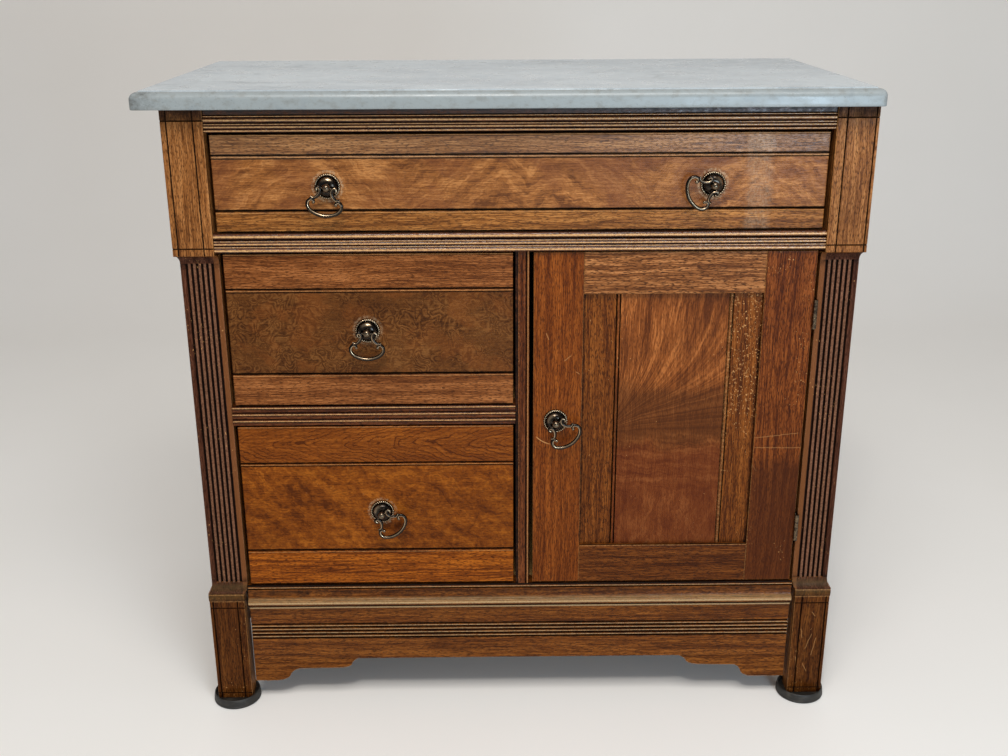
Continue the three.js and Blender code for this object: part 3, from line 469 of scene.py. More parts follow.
def fan_figure(g, left_x, foot_z, reach):
    """Lines that fan out from low on the left and bend upright; under them cross waves, then lobes."""
    warp = g.warped(30, 9, 3.0)
    across = g.math("MAXIMUM", g.x - left_x + warp, 1.0)
    up = g.math("MAXIMUM", g.z - foot_z + warp, 1.0)
    square = up * up
    climb = g.math("DIVIDE", square, square + reach * reach) * 100.0
    fan = g.math("ARCTAN2", climb, across) * 60.0
    point = g.joined(fan, up, g.y)
    pale = g.between(g.noise(point, (2.2, 110, 110), 1.0), 0.6, 0.7)
    hair = g.noise(point, (1.1, 60, 60), 2.0, 0.7)
    upper = along_run(g, fan, up, 9.0, 1.7, 130.0) * 0.8 + (hair - 0.5) * 1.6 + pale * 0.4
    waves = along_run(g, g.z + g.x * 0.06 + g.warped(30, 22, 3.0), g.x, 9.0, 2.4, 60.0)
    lobes = along_run(g, g.x + g.warped(36, 44, 3.0), g.z, 15.0, 3.0, 45.0)
    low = g.between(g.z, foot_z - 62, foot_z - 92)
    lower = waves * (1.0 - low) + lobes * low
    which = g.between(g.z, foot_z - 12, foot_z + 12)
    return upper * which + lower * (1.0 - which)


# Repaints: each takes the tint so far and returns the tint with one more shade or mark
def shaded_belt(g, tint, z_low, z_high, strength, shade):
    """Another shade between two heights of a board, with a ragged edge."""
    level = g.z + g.warped(30, 44, 3.0)
    inside = g.between(level, z_low - 18, z_low + 10) * g.between(level, z_high + 20, z_high - 10)
    return g.mix(inside * strength, tint, shade)


def on_levels(g, tint, z_middle, half, strength, shade):
    """Another shade round one height, fading above and below."""
    ragged = g.between(g.noise(g.place, (24, 3, 3), 3.0, 0.7), 0.3, 0.6, 0.55, 1.0)
    near = g.between(abs(g.z - z_middle), half, 0.0)
    return g.mix(near * ragged * strength, tint, shade)


def beside_openings(g, tint, x0, x1, strength, shade):
    """Another shade on both stiles, between two distances from the middle."""
    return g.mix(g.within(abs(g.x), x0, x1, 0.5) * strength, tint, shade)


def shaded_patches(g, tint, size, strength, shade):
    """Clouds of another shade."""
    cloud = g.noise(g.place, (size, size, size * 0.8), 3.0, 0.55, 0.4)
    return g.mix(g.between(cloud, 0.46, 0.62, 0.0, strength), tint, shade)


def scuffed_strip(g, tint, x0, x1, strength, shade):
    """A pale scuffed strip up a board."""
    level = g.x + g.warped(20, 16, 3.0)
    inside = g.between(level, x0 - 4, x0 + 4) * g.between(level, x1 + 6, x1 - 4)
    ragged = g.between(g.noise(g.place, (2.2, 2.2, 4.0), 3.0, 0.7), 0.42, 0.62, 0.35, 1.0)
    return g.mix(inside * ragged * strength, tint, shade)


def halos(g, tint, strength, *centres):
    """The pale rings that the rosettes have rubbed into the finish."""
    radius, width = 16.4, 2.6
    ragged = g.between(g.noise(g.place, 3, 3.0, 0.7), 0.4, 0.62)
    for x, z in centres:
        off = abs(g.root_of_squares(g.x - x, g.z - z) - radius)
        tint = g.mix(g.between(off, width, 0.2, 0.0, strength) * ragged, tint, HALO)
    return tint


def worn_arc(g, tint, centre, radius, first, last):
    """The line that the end of a bail has scratched, between two angles in degrees."""
    dx, dz = g.x - centre[0], g.z - centre[1]
    off = abs(g.root_of_squares(dx, dz) - radius)
    inside = g.within(g.math("ARCTAN2", dz, dx), math.radians(first), math.radians(last), 0.05)
    return g.mix(g.between(off, 0.9, 0.2) * inside * 0.75, tint, FLECK)


def scratches(g, tint, strength, *lines):
    """Fine pale scratches, each from (x, z) to (x, z)."""
    wobble = g.warped(6, 2.0)
    for x0, z0, x1, z1 in lines:
        length = math.hypot(x1 - x0, z1 - z0)
        ux, uz = (x1 - x0) / length, (z1 - z0) / length
        dx, dz = g.x - x0, g.z - z0
        line = g.between(abs(dz * ux - dx * uz + wobble), 0.75, 0.15)
        tint = g.mix(line * g.within(dx * ux + dz * uz, 0, length, 1) * strength, tint, FLECK)
    return tint


# Where pale flecks lie, from 0 to 1
def scattered(g, strength, low=0.5, high=0.62):
    return g.between(g.noise(g.place, 40), low, high, 0.0, strength)


def scattered_above(g, z_level, strength):
    return g.between(g.z + g.warped(25, 70), z_level - 90, z_level + 40, 0.45 * strength, strength)


def marble():
    g = Graph("marble")
    drift = g.vector("MULTIPLY", g.noise(g.place, 140, 3.0, output=1), (120.0, 120.0, 120.0))
    drifted = g.vector("ADD", g.place, drift)
    cloud = g.noise(drifted, (190, 120, 100), 4.0, 0.6)
    vein = abs(g.noise(drifted, (150, 90, 80), 5.0, 0.6) - 0.5)
    line = g.between(vein, 0.035, 0.0) * g.between(g.noise(g.place, 110, 1.0), 0.45, 0.65)
    on_edge = g.attribute("wear_and_painted_light")
    tint = g.mix(g.between(cloud, 0.35, 0.65), "#abb2b7", "#bac1c5")
    # The moulded edge is tinted darker grey: an unpolished edge, and a painted shade on the front face
    tint = g.mix(on_edge * 0.9, tint, "#8a8f8e")
    tint = g.mix(line * 0.4, tint, "#7f878b")
    smudge = g.between(g.noise(g.place, (13, 20, 9), 4.0, 0.7), 0.47, 0.66)
    tint = g.mix(smudge * g.linear(on_edge, 0.0, 1.0, 0.12, 0.5), tint, "#7a7973")
    fleck = g.between(g.noise(g.place, 2.4, 2.0, 0.7), 0.62, 0.72)
    tint = g.mix(fleck * g.linear(on_edge, 0.0, 1.0, 0.12, 0.45), tint, "#5f615f")
    patch = g.noise(g.place, 8, 3.0, 0.7) - 0.5
    # Grime on the left end, and painted shade along the underside arris and the shoulder, darken the slab
    tint = g.mix(g.between(g.attribute("grime_and_shade") + patch, 0.25, 0.95, 0.0, 0.8), tint, "#3f3c36")
    rough = g.linear(g.noise(g.place, 30, 3.0), 0.3, 0.7, 0.24, 0.4)
    return g.finish(tint, rough, g.noise(g.place, 6, 3.0, 0.6), bump=0.12, depth=0.0005, specular=0.4)


def bronze(name, dark, light):
    g = Graph(name)
    patch = g.noise(g.place, 4, 3.0, 0.6)
    fine = g.noise(g.place, 0.9, 2.0, 0.6)
    tint = g.mix(g.between(patch, 0.4, 0.65), dark, light)
    # Wear and the painted highlights on the domes and rods tint the bronze pale; patina, grime and the
    # painted shade on the rods' backs darken it nearly black
    rubbed_and_highlit = g.between(g.attribute("wear_and_painted_light") + (fine - 0.5) * 0.5, 0.35, 1.0, 0.0, 0.85)
    tint = g.mix(rubbed_and_highlit, tint, "#cdb08c")
    tint = g.mix(g.between(g.attribute("grime_and_shade"), 0.2, 0.9, 0.0, 0.95), tint, "#060403")
    rough = g.linear(patch, 0.3, 0.7, 0.16, 0.3)
    return g.finish(tint, rough, fine, bump=0.1, metallic=1.0, coat=0.35, coat_roughness=0.16)


def rubber():
    g = Graph("rubber")
    dust = g.between(g.noise(g.place, (12, 12, 6), 4.0, 0.65), 0.45, 0.75)
    tint = g.mix(dust * 0.4, "#1d1a16", "#5c554a")
    return g.finish(tint, g.linear(dust, 0.0, 1.0, 0.5, 0.75), g.noise(g.place, 0.8), bump=0.15)


def pull_centre(node):
    low, high = case_box(f"{node}_rosette")
    return ((low[0] + high[0]) / 2, (low[2] + high[2]) / 2)


MARBLE = marble()
BRONZE = bronze("bronze", "#17110c", "#33281c")
HINGE_BRONZE = bronze("hinge_bronze", "#3a2e22", "#75624a")
RUBBER = rubber()

# Woods: name, middle colour, direction of the grain, and a number that sets each one's own pattern
# On the rails and the divider, the golden tint on the reeds' crests is wear and also a painted highlight
RAIL_WOOD = walnut("rail_walnut", "#5c3014", "x", 1.0, contrast=0.9, gloss=0.22, shine=0.42, wear_and_painted_light=1.25,
                   worn_and_highlight_tint=GOLDEN)
DIVIDER_WOOD = walnut("divider_walnut", "#5a2c10", "x", 1.5, gloss=0.26, shine=0.14, wear_and_painted_light=1.2,
                      worn_and_highlight_tint=GOLDEN)
STILE_WOOD = walnut(
    "pilaster_walnut", "#4e2a19", "z", 2.0, contrast=0.8, specks=(scattered, 0.75), wear_and_painted_light=0.8,
    worn_and_highlight_tint="#a9785a", shine=0.07,
    after=[(beside_openings, 344, 350, 0.6, "#84502a"), (on_levels, 167, 9, 0.5, "#5c4a2c")])
# On the corner blocks, the dark band round 758 mm is a painted shadow under the slab
BLOCK_WOOD = walnut("block_walnut", "#8c5629", "z", 3.0, contrast=0.8, pores=0.75,
                    after=[(on_levels, 758, 13, 0.75, "#3a2018")])
FOOT_WOOD = walnut(
    "foot_walnut", "#542b0b", "z", 4.0, specks=(scattered, 0.7, 0.46, 0.58), contrast=0.9, wear_and_painted_light=1.1,
    shine=0.07,
    after=[(on_levels, 158, 12, 0.45, "#6b5632"),
           (scratches, 0.35, (360.5, 101.5, 362.5, 88), (374.5, 94, 368, 72), (380.5, 88, 376, 62),
            (356, 60, 359, 44), (372, 126, 377, 120), (366, 50, 372, 38))])
PARTITION_WOOD = walnut("partition_walnut", "#5c2c10", "z", 5.0, gloss=0.28, shine=0.1)
# On the base, the pale band round 149.5 mm is a painted highlight on the ogee's bead
BASE_WOOD = walnut("base_walnut", "#6e3a10", "x", 6.0, contrast=0.9, gloss=0.28, shine=0.12,
                   worn_and_highlight_tint="#c9a678", specks=(scattered, 0.5),
                   after=[(on_levels, 149.5, 5, 0.5, "#ab8a5c")])
BRACKET_WOOD = walnut("bracket_walnut", "#6e3a10", "x", 7.0, contrast=1.1)
SCUFF = (scuffed_strip, 253, 280, 0.2, "#cdb496")
TOP_BAND = walnut("top_drawer_bands", "#8a5a30", "x", 8.0, contrast=0.9, shine=0.36, after=[SCUFF])
TOP_LOW_BAND = walnut("top_drawer_low_band", "#935a26", "x", 8.5, contrast=0.9, shine=0.14, after=[SCUFF])
TOP_FIELD = walnut(
    "top_drawer_field", "#935a2a", "x", 9.0, (feather_figure, 8, 226, 0.7, 254), 0.68, contrast=0.75,
    pores=0.35, shine=0.17,
    after=[(shaded_patches, 70, 0.45, "#6f3d20"), SCUFF,
           (halos, 0.4, pull_centre("top_drawer_left"), pull_centre("top_drawer_right"))])
UPPER_BAND = walnut("upper_drawer_bands", "#844b22", "x", 10.0, specks=(scattered, 0.5))
UPPER_FIELD = walnut(
    "upper_drawer_field", "#5f3614", "x", 11.0, (burl_figure, 15, 8.0, 0.6), 0.9, contrast=0.4, pores=0.3,
    after=[(shaded_patches, 52, 0.2, "#94501f"), (halos, 0.2, pull_centre("upper_drawer"))])
LOWER_BAND = walnut("lower_drawer_band", "#783b0b", "x", 12.0, (chevron_figure, 362, -171, 3.6, 17), 0.7,
                    contrast=0.7, pores=0.5)
LOWER_LOW_BAND = walnut("lower_drawer_low_band", "#87420a", "x", 13.0, pores=0.75, contrast=1.1)
LOWER_FIELD = walnut(
    "lower_drawer_field", "#7b3d09", "x", 14.0, (mottled_figure, 20, 0.8), 0.85, contrast=0.6, pores=0.4,
    specks=(scattered, 0.5, 0.52, 0.66), after=[(halos, 0.3, pull_centre("lower_drawer"))])
LATCH_WOOD = walnut(
    "latch_stile_walnut", "#74370c", "z", 15.0, pores=0.6, contrast=0.8,
    after=[(worn_arc, pull_centre("door"), 31, -137, -102),
           (scratches, 0.45, (52, 466, 60, 472), (30, 500, 33, 492), (66, 452, 70, 449))])
HINGE_STILE_WOOD = walnut(
    "hinge_stile_walnut", "#6e340e", "z", 16.0, specks=(scattered, 0.7),
    after=[(scratches, 0.3, (284, 365.5, 336, 371.5), (284, 352.7, 342, 352.2), (283, 330, 288, 322)),
           (shaded_belt, 120, 330, 0.7, "#3d1905")])
DOOR_TOP_WOOD = walnut("door_top_walnut", "#90572b", "x", 17.0, pores=0.9, contrast=1.2)
DOOR_BOTTOM_WOOD = walnut("door_bottom_walnut", "#5e2e0b", "x", 18.0)
BOARD_LEFT_WOOD = walnut("left_board_walnut", "#70390f", "z", 19.0, pores=0.75, specks=(scattered, 0.5))
BOARD_MIDDLE_WOOD = walnut(
    "middle_board_walnut", "#88491d", "z", 20.0, (fan_figure, 110, 372, 58), 0.85, contrast=0.75, pores=0.5,
    specks=(scattered, 0.55),
    after=[(shaded_belt, 190, 350, 0.65, "#55210a"), (shaded_belt, 360, 425, 0.65, "#45220a")])
BOARD_RIGHT_WOOD = walnut(
    "right_board_walnut", "#70390f", "z", 21.0, pores=0.65, specks=(scattered_above, 390, 0.95),
    after=[(scratches, 0.45, (238, 322, 252, 320))])
SIDE_WOOD = walnut("side_walnut", "#573216", "z", 22.0)
SIDE_RAIL_WOOD = walnut("side_rail_walnut", "#573216", "y", 23.0)
SIDE_PANEL_WOOD = walnut("side_panel_walnut", "#6e3a10", "z", 24.0)
POPLAR = "#a07c4c"
INSIDE_WOOD = walnut("poplar", POPLAR, "x", 25.0, contrast=0.4, gloss=0.62, pores=0.2)
DRAWER_SIDE_WOOD = walnut("drawer_side_poplar", POPLAR, "y", 27.0, contrast=0.4, gloss=0.62, pores=0.2)
BACK_WOOD = walnut("back_poplar", POPLAR, "z", 26.0, contrast=0.45, gloss=0.65, pores=0.2)

# Sizes of the front that the shapes below share with the CAD part, in millimetres
CASE_TOP = 761
FRONT_THICKNESS = 27
CASE_HALF = 394
BLOCK_INNER = 347.5
PILASTER_INNER = 344.3
PILASTER_OUTER = 388.9
PILASTER_SET_BACK = 7
BLOCK_BOTTOM = 595.7
BLOCK_LINE_DEPTH = 14
PILASTER_TOP = 586
PILASTER_BOTTOM = 174
FOOT_TOP = 148.4
FOOT_BAND_TOP = 160
FOOT_INNER = 349.2
FOOT_OUTER = 393.2
FOOT_SET_BACK = 2.6
CUP_FLOOR = 6
# Radius that the arrises of the stiles and the door are rounded to
ARRIS = 0.9


# Marble slab
def marble_top():
    low, high = case_box("marble_top")
    x0, x1 = low[0], high[0]
    front, back = low[1], high[1]
    bottom, top = low[2], high[2]
    corner = 5
    corner_steps = 8

    def outline(inset):
        """The slab's outline at an inset from its widest, from the left back corner round to the right."""
        radius = max(corner - inset, 0.0)
        left, right, ahead = x0 + inset, x1 - inset, front + inset
        line = [(left, y) for y in evenly(back, ahead + radius, 30)]
        arc = [math.pi / 2 * i / corner_steps for i in range(1, corner_steps)]
        line += [(left + radius * (1 - math.cos(a)), ahead + radius * (1 - math.sin(a))) for a in arc]
        line += [(x, ahead) for x in evenly(left + radius, right - radius, 110)]
        line += [(right - radius * (1 - math.cos(a)), ahead + radius * (1 - math.sin(a)))
                 for a in reversed(arc)]
        line += [(right, y) for y in evenly(ahead + radius, back, 30)]
        return line

    mould_height = 8
    mould_width = 8.5
    fillet = 1.4
    thickness = top - bottom
    shoulder = thickness - fillet
    mould_foot = shoulder - mould_height
    # Inset from the widest outline, height over the underside, grime and painted shade
    profile = [(1.0, 0.0, 0.3), (0.45, 0.15, 0.1), (0.1, 0.6, 0), (0, 1.1, 0), (0, 4, 0),
               (0, mould_foot - 3, 0), (0, mould_foot, 0)]
    for i in range(1, 9):
        angle = math.pi / 2 * i / 8
        profile.append((mould_width * (1 - math.cos(angle)), mould_foot + mould_height * math.sin(angle), 0))
    profile += [(mould_width + 0.5, shoulder + 0.05, 0.25), (mould_width + 0.9, shoulder + 0.4, 0.25),
                (mould_width + 1.0, thickness - 0.5, 0), (mould_width + 1.15, thickness - 0.15, 0),
                (mould_width + 1.6, thickness, 0), (mould_width + 2.6, thickness, 0)]
    shape = Shape()
    rings = []
    for inset, rise, grime_and_shade in profile:
        ring = []
        for x, y in outline(inset):
            on_edge = 0 < rise < thickness - 1
            chip = max(0.0, smooth_noise(x, y, rise * 2, 9) - 0.45) * 1.5 if on_edge else 0.0
            left_end = max(0.0, 1 - (x - x0) / 70) * on_edge
            # The moulded edge is marked for a darker grey tint: an unpolished edge, and painted shade on the
            # front face
            edge = 1.0 if rise < thickness - 1.5 else 0.35
            ring.append(shape.point(x, y + chip * (y < front + inset + 1), bottom + rise,
                                    grime_and_shade + 0.62 * left_end, edge if inset < mould_width + 2 else 0.0))
        rings.append(ring)
    for first, second in zip(rings, rings[1:]):
        shape.strip(first, second, closed=False)
    shape.face(tuple(rings[-1]))
    shape.face(tuple(rings[0]))
    left_back = [ring[0] for ring in rings]
    right_back = [ring[-1] for ring in rings]
    shape.face(tuple(left_back + right_back[::-1]))
    make_piece("slab", shape, [MARBLE], "case", ["marble_top"], sharp=35)


marble_top()


# Front stiles
def stile_wall_shade(x):
    """The walls that face the openings are darkened with painted shade, the outer ones hardly."""
    return 0.95 if abs(x) < (FOOT_INNER + FOOT_OUTER) / 2 else 0.12


def stile_part(shape, side, zone_number, columns, rows, surface):
    """A part of a front stile. Its surface gives how far out from the middle each point stands."""
    def mirrored(column, row):
        out, *rest = surface(column, row)
        return (side * out, *rest)

    relief_board(shape, columns, rows, mirrored, FRONT_THICKNESS, lambda j: zone_number, stile_wall_shade)


def line_drop(distance, width=1.9, depth=1.5):
    """Depth of an incised line at a distance from its middle."""
    share = abs(distance) / (width / 2)
    return depth * (1 - share ** 2) if share < 1 else 0.0


def near_lines(lines, start, end, step):
    """Values from start to end with more of them across each incised line."""
    values = set(with_rounded_ends(start, end, step, ARRIS))
    for line in lines:
        for offset in (-2.6, -1.4, -0.95, -0.7, -0.4, 0, 0.4, 0.7, 0.95, 1.4, 2.6):
            values.add(line + offset)
    ordered = sorted(value for value in values if start <= value <= end)
    kept = [ordered[0]]
    for value in ordered[1:]:
        if value - kept[-1] > 0.08:
            kept.append(value)
    return kept


def lined_block(shape, side, inner, outer, face, z0, z1, up_lines, cross_lines, zone_number, seed):
    """A block with incised lines that run up it and across it."""
    columns = near_lines(up_lines, inner, outer, 6)
    rows = near_lines(cross_lines, z0, z1, 9)

    def surface(u, z):
        edge = min(u - inner, outer - u, z - z0, z1 - z)
        drop = max([line_drop(u - line) for line in up_lines] + [line_drop(z - line) for line in cross_lines])
        wave = 0.1 * smooth_noise(u, z, seed, 25)
        crest = max(0.0, 1 - edge / 2.2)
        # The incised lines are darkened with grime and painted shade, and the strip just under the slab is
        # darkened as a painted shadow of the slab
        shadow_under_slab = 0.55 if z > CASE_TOP - BLOCK_LINE_DEPTH else 0.0
        return (u, face + rounding(edge, ARRIS) + drop + wave, z, max(0.85 * min(1.0, drop), shadow_under_slab),
                max(0.0, crest - 0.2))

    stile_part(shape, side, zone_number, columns, rows, surface)


def rolled_block(shape, side, inner, outer, face, z0, z1):
    """A band with a rounded face, worn pale along its lower edge, and with a painted highlight along its
    crest near the top.
    """
    roll = 2.2
    columns = with_rounded_ends(inner, outer, 6, ARRIS)
    rows = evenly(z0, z1, 12)

    def surface(u, z):
        share = (z - z0) / (z1 - z0)
        drop = roll * (1 - math.sin(math.pi * (0.12 + 0.76 * share)))
        edge = min(u - inner, outer - u)
        # Pale along the lower edge from wear, and along the crest near the top as a painted highlight
        worn = max(0.0, 0.8 - 3 * share) + max(0.0, 0.95 - abs(share - 0.86) / 0.16)
        return (u, face + drop + rounding(edge, ARRIS), z, 0.3, worn)

    stile_part(shape, side, 2, columns, rows, surface)


def cove_block(shape, side, z0, low, z1, high, towards_top):
    """A hollow between two levels; each end is (inner, outer, face)."""
    rows = spread(0, 1, 0.1)
    columns = [0, 0.02, 0.06, 0.15, 0.3, 0.5, 0.7, 0.85, 0.94, 0.98, 1]

    def surface(share, step):
        angle = math.pi / 2 * step
        across = 1 - math.cos(angle) if towards_top else math.sin(angle)
        up = math.sin(angle) if towards_top else 1 - math.cos(angle)
        inner, outer, face = [a + (b - a) * across for a, b in zip(low, high)]
        edge = min(share, 1 - share) * (outer - inner)
        # The hollow is darkest in its middle: grime and painted shade
        return (inner + share * (outer - inner), face + rounding(edge, 0.8), z0 + (z1 - z0) * up,
                0.35 - 0.3 * abs(step - 0.5), 0.3 * abs(2 * step - 1))

    stile_part(shape, side, 1, columns, rows, surface)


FLUTES = 6
FLUTE_PITCH = 5.9
FLUTE_WIDTH = 2.9
FLUTE_DEPTH = 2.6
FIRST_FLUTE = 7.7


def fluted_pilaster(shape, side, seed):
    middles = [PILASTER_INNER + FIRST_FLUTE + i * FLUTE_PITCH for i in range(FLUTES)]
    half = FLUTE_WIDTH / 2
    shares = (0.3, 0.65, 0.9, 1.05, 1.3)
    columns = [PILASTER_INNER + d for d in (0, 0.1, 0.3, 0.6, 0.9, 2.5, 4.2)] + middles
    columns += [middle + way * half * share for middle in middles for way in (-1, 1) for share in shares]
    columns += [PILASTER_OUTER - d for d in (0.9, 0.6, 0.3, 0.1, 0)]
    columns = sorted(columns)
    rows = spread(PILASTER_BOTTOM, PILASTER_TOP, 7)

    def surface(u, z):
        nearest = min(abs(u - middle) for middle in middles)
        share = nearest / half
        drop = FLUTE_DEPTH * math.sqrt(1 - share * share) if share < 1 else 0.0
        edge = min(u - PILASTER_INNER, PILASTER_OUTER - u)
        # The flutes are darkened nearly black, and the pilaster's ends beside the coves are darkened too:
        # grime and painted shade. The reeds' edges are tinted pale: wear and painted highlight
        between_flutes = middles[0] - half < u < middles[-1] + half
        worn = 0.75 if share < 1.4 else 0.42
        crest = worn if between_flutes and share >= 1 else max(0.0, 0.8 - edge / 2.0)
        dent = nick(z, u * 3, seed) * 0.6 * crest
        end = min(z - PILASTER_BOTTOM, PILASTER_TOP - z)
        end_shade = max(0.0, 1 - end / 14) * 0.55
        grime_and_shade = max(1.0 if share < 0.75 else 0.4 * (share < 1.05), end_shade)
        return (u, PILASTER_SET_BACK + drop + rounding(edge, ARRIS) + dent, z, grime_and_shade, crest)

    stile_part(shape, side, 1, columns, rows, surface)


def front_stile(side, word):
    shape = Shape()
    outer_line = 6.6 if side < 0 else 3.8
    lined_block(shape, side, FOOT_INNER, FOOT_OUTER, FOOT_SET_BACK, CUP_FLOOR, FOOT_TOP,
                [FOOT_INNER + 9, FOOT_OUTER - 4.4], [FOOT_TOP - 9.3, CUP_FLOOR + 7.4], 2, 1.0 + side)
    band = (FOOT_INNER - 0.8, FOOT_OUTER + 0.4, FOOT_SET_BACK - 1)
    pilaster = (PILASTER_INNER, PILASTER_OUTER, PILASTER_SET_BACK)
    block = (PILASTER_INNER, CASE_HALF, 0)
    rolled_block(shape, side, *band, FOOT_TOP, FOOT_BAND_TOP)
    cove_block(shape, side, FOOT_BAND_TOP, band, PILASTER_BOTTOM, pilaster, False)
    fluted_pilaster(shape, side, 5.0 + side)
    cove_block(shape, side, PILASTER_TOP, pilaster, BLOCK_BOTTOM, block, True)
    lined_block(shape, side, BLOCK_INNER, CASE_HALF, 0, BLOCK_BOTTOM, CASE_TOP,
                [BLOCK_INNER + 11, CASE_HALF - outer_line],
                [CASE_TOP - BLOCK_LINE_DEPTH, BLOCK_BOTTOM + 8.6], 0, 7.0 + side)
    make_piece(f"stile_{word}", shape, [BLOCK_WOOD, STILE_WOOD, FOOT_WOOD], "case",
               [f"front_stile_{word}"])


front_stile(-1, "left")
front_stile(1, "right")


# Reeded rails
def height_left(node, mouldings):
    """The part of a node's height that the mouldings don't take."""
    low, high = case_box(node)
    return high[2] - low[2] - height_of(mouldings)


def rail(name, node, mouldings, face, material, seed):
    low, high = case_box(node)
    shape = Shape()
    moulded_board(shape, moulding_rows(mouldings, high[2]), low[0], high[0], face, FRONT_THICKNESS, seed)
    make_piece(name, shape, [material], "case", [node], sharp=50)


double_reed = [bead(2.2, 0.6, 0.7, 6), bead(3.6, 0, 1.2), groove(0.9, 1.4, 1.2)]
top_reeds = [groove(1, 1.6, 1.4), bead(1.8, 1, 0.7, 6), groove(0.8, 1.6, 1), bead(4.8, 0, 1.6),
             groove(0.9, 1.6, 1.2), *double_reed, bead(3, 0.4, 1, 8)]
flat_height = height_left("top_rail", top_reeds)
# The flat under the slab is darkened, most at its top: a painted shadow of the slab
shadow_under_slab = [(0, 1.6, 1, 0), (flat_height * 0.4, 1.6, 0.7, 0), (flat_height * 0.8, 1.6, 0.42, 0),
              (flat_height, 1.6, 0.6, 0)]
rail("reeds_top", "top_rail", [shadow_under_slab, *top_reeds], 0.5, RAIL_WOOD, 1.0)
mid_reeds = [bead(6.4, 0, 3), groove(1.4, 2.2, 1.8), *double_reed, bead(2.2, 0.8, 0.7, 6)]
mid_reeds.append(bead(height_left("mid_rail", mid_reeds), 0.4, 1.8))
rail("reeds_middle", "mid_rail", mid_reeds, 0.5, RAIL_WOOD, 2.0)
quirk = 1.2
divider_reeds = []
reed_height = (height_left("drawer_divider_rail", []) - 2 * quirk) / 3
for reed in range(3):
    if reed:
        divider_reeds.append(groove(quirk, 1.9, 1.5))
    divider_reeds += [bead(reed_height * 0.45, 0, 1.4, 6), flat(reed_height * 0.55, 1.4, 0.5, 0.2)]
rail("reeds_between_drawers", "drawer_divider_rail", divider_reeds, 4, DIVIDER_WOOD, 3.0)
BASE_SET_BACK = 7.5
# The strip at the top, under the door and drawers, and the line under the ogee's bead are darkened as painted
# shade; the edge below that line is worn pale
base_mould = [[(0, 6, 1, 0), (1.6, 6, 1, 0)], bead(2.4, 4.6, 1.2, 6), flat(1.8, 8), flat(1.6, 5.2),
              cove(11.6, 5.2, 1.6), bead(8.2, 0, 3.2), flat(2.0, 4.6, 0.8, 1.0), groove(2.2, 6.3, 2.0),
              [(0, 6.2, 0, 1), (1.4, 5.9, 0, 1), (2.6, 6.6, 0, 0.3)], flat(22, BASE_SET_BACK, 0.3, 0.2)]
base_reeds = [groove(2.5, BASE_SET_BACK, 2.8)]
for reed in range(4):
    base_reeds += [bead(2.6, BASE_SET_BACK, 0.8, 8), groove(2.5, BASE_SET_BACK, 2.8)]
base_faces = [*base_mould, *base_reeds]
base_faces.append(flat(height_left("base_rail", base_faces), BASE_SET_BACK, 0.2, 0.3))
rail("base", "base_rail", base_faces, 0, BASE_WOOD, 4.0)


# Scroll-cut brackets
def curve_points(start, control, end):
    """A curve from start to end, drawn towards a control point. The start isn't repeated."""
    return [tuple((1 - t) ** 2 * a + 2 * t * (1 - t) * b + t * t * c for a, b, c in zip(start, control, end))
            for t in evenly(0, 1, 8)[1:]]


def bracket(side, word, foot_length, rise, step_length, end):
    """A bracket from the stile inwards: a foot, a rise, a level step, and an end that curves up."""
    foot, step, top = 27.4, 45, 61
    set_back = 8.2
    outer = PILASTER_INNER - 0.3
    risen = foot_length + rise
    step_end = risen + step_length
    tip = step_end + end
    path = [(d, foot) for d in with_rounded_ends(0, foot_length, 6, 0.6)]
    path += curve_points(path[-1], (foot_length + rise * 0.55, foot + 2),
                         (foot_length + rise * 0.6, (foot + step) / 2))
    path += curve_points(path[-1], (foot_length + rise * 0.7, step - 2), (risen, step))
    path += [(d, step + (d - risen) / step_length) for d in spread(risen, step_end, 6)[1:]]
    path += curve_points(path[-1], (step_end + end * 0.5, step + 2),
                         (step_end + end * 0.55, (step + top) / 2))
    path += curve_points(path[-1], (step_end + end * 0.65, top - 2), (tip, top - 0.2))
    shares = [0, 0.02, 0.05, 0.1, 0.2, 0.4, 0.6, 0.8, 0.95, 1]

    def surface(spot, share):
        distance, lower = spot
        z = lower + (top - lower) * share
        worn = max(0.0, 1 - (z - lower) / 3.0)
        wave = 0.35 * smooth_noise(distance, 3.0, 3.0 + side, 12) * worn
        return (side * (outer - distance), set_back + rounding(z - lower, 1.2), z + wave * (share < 0.3), 0.0,
                worn)

    shape = Shape()
    relief_board(shape, path, shares, surface, FRONT_THICKNESS)
    make_piece(f"scroll_{word}", shape, [BRACKET_WOOD], "case",
               [f"bracket_{word}"])


bracket(-1, "left", 28, 29, 55, 26)
bracket(1, "right", 43, 23, 45, 33)


# Drawer fronts
DRAWER_SET_BACK = 6
DRAWER_FRONT = 20
FIELD_SET_BACK = 0.4


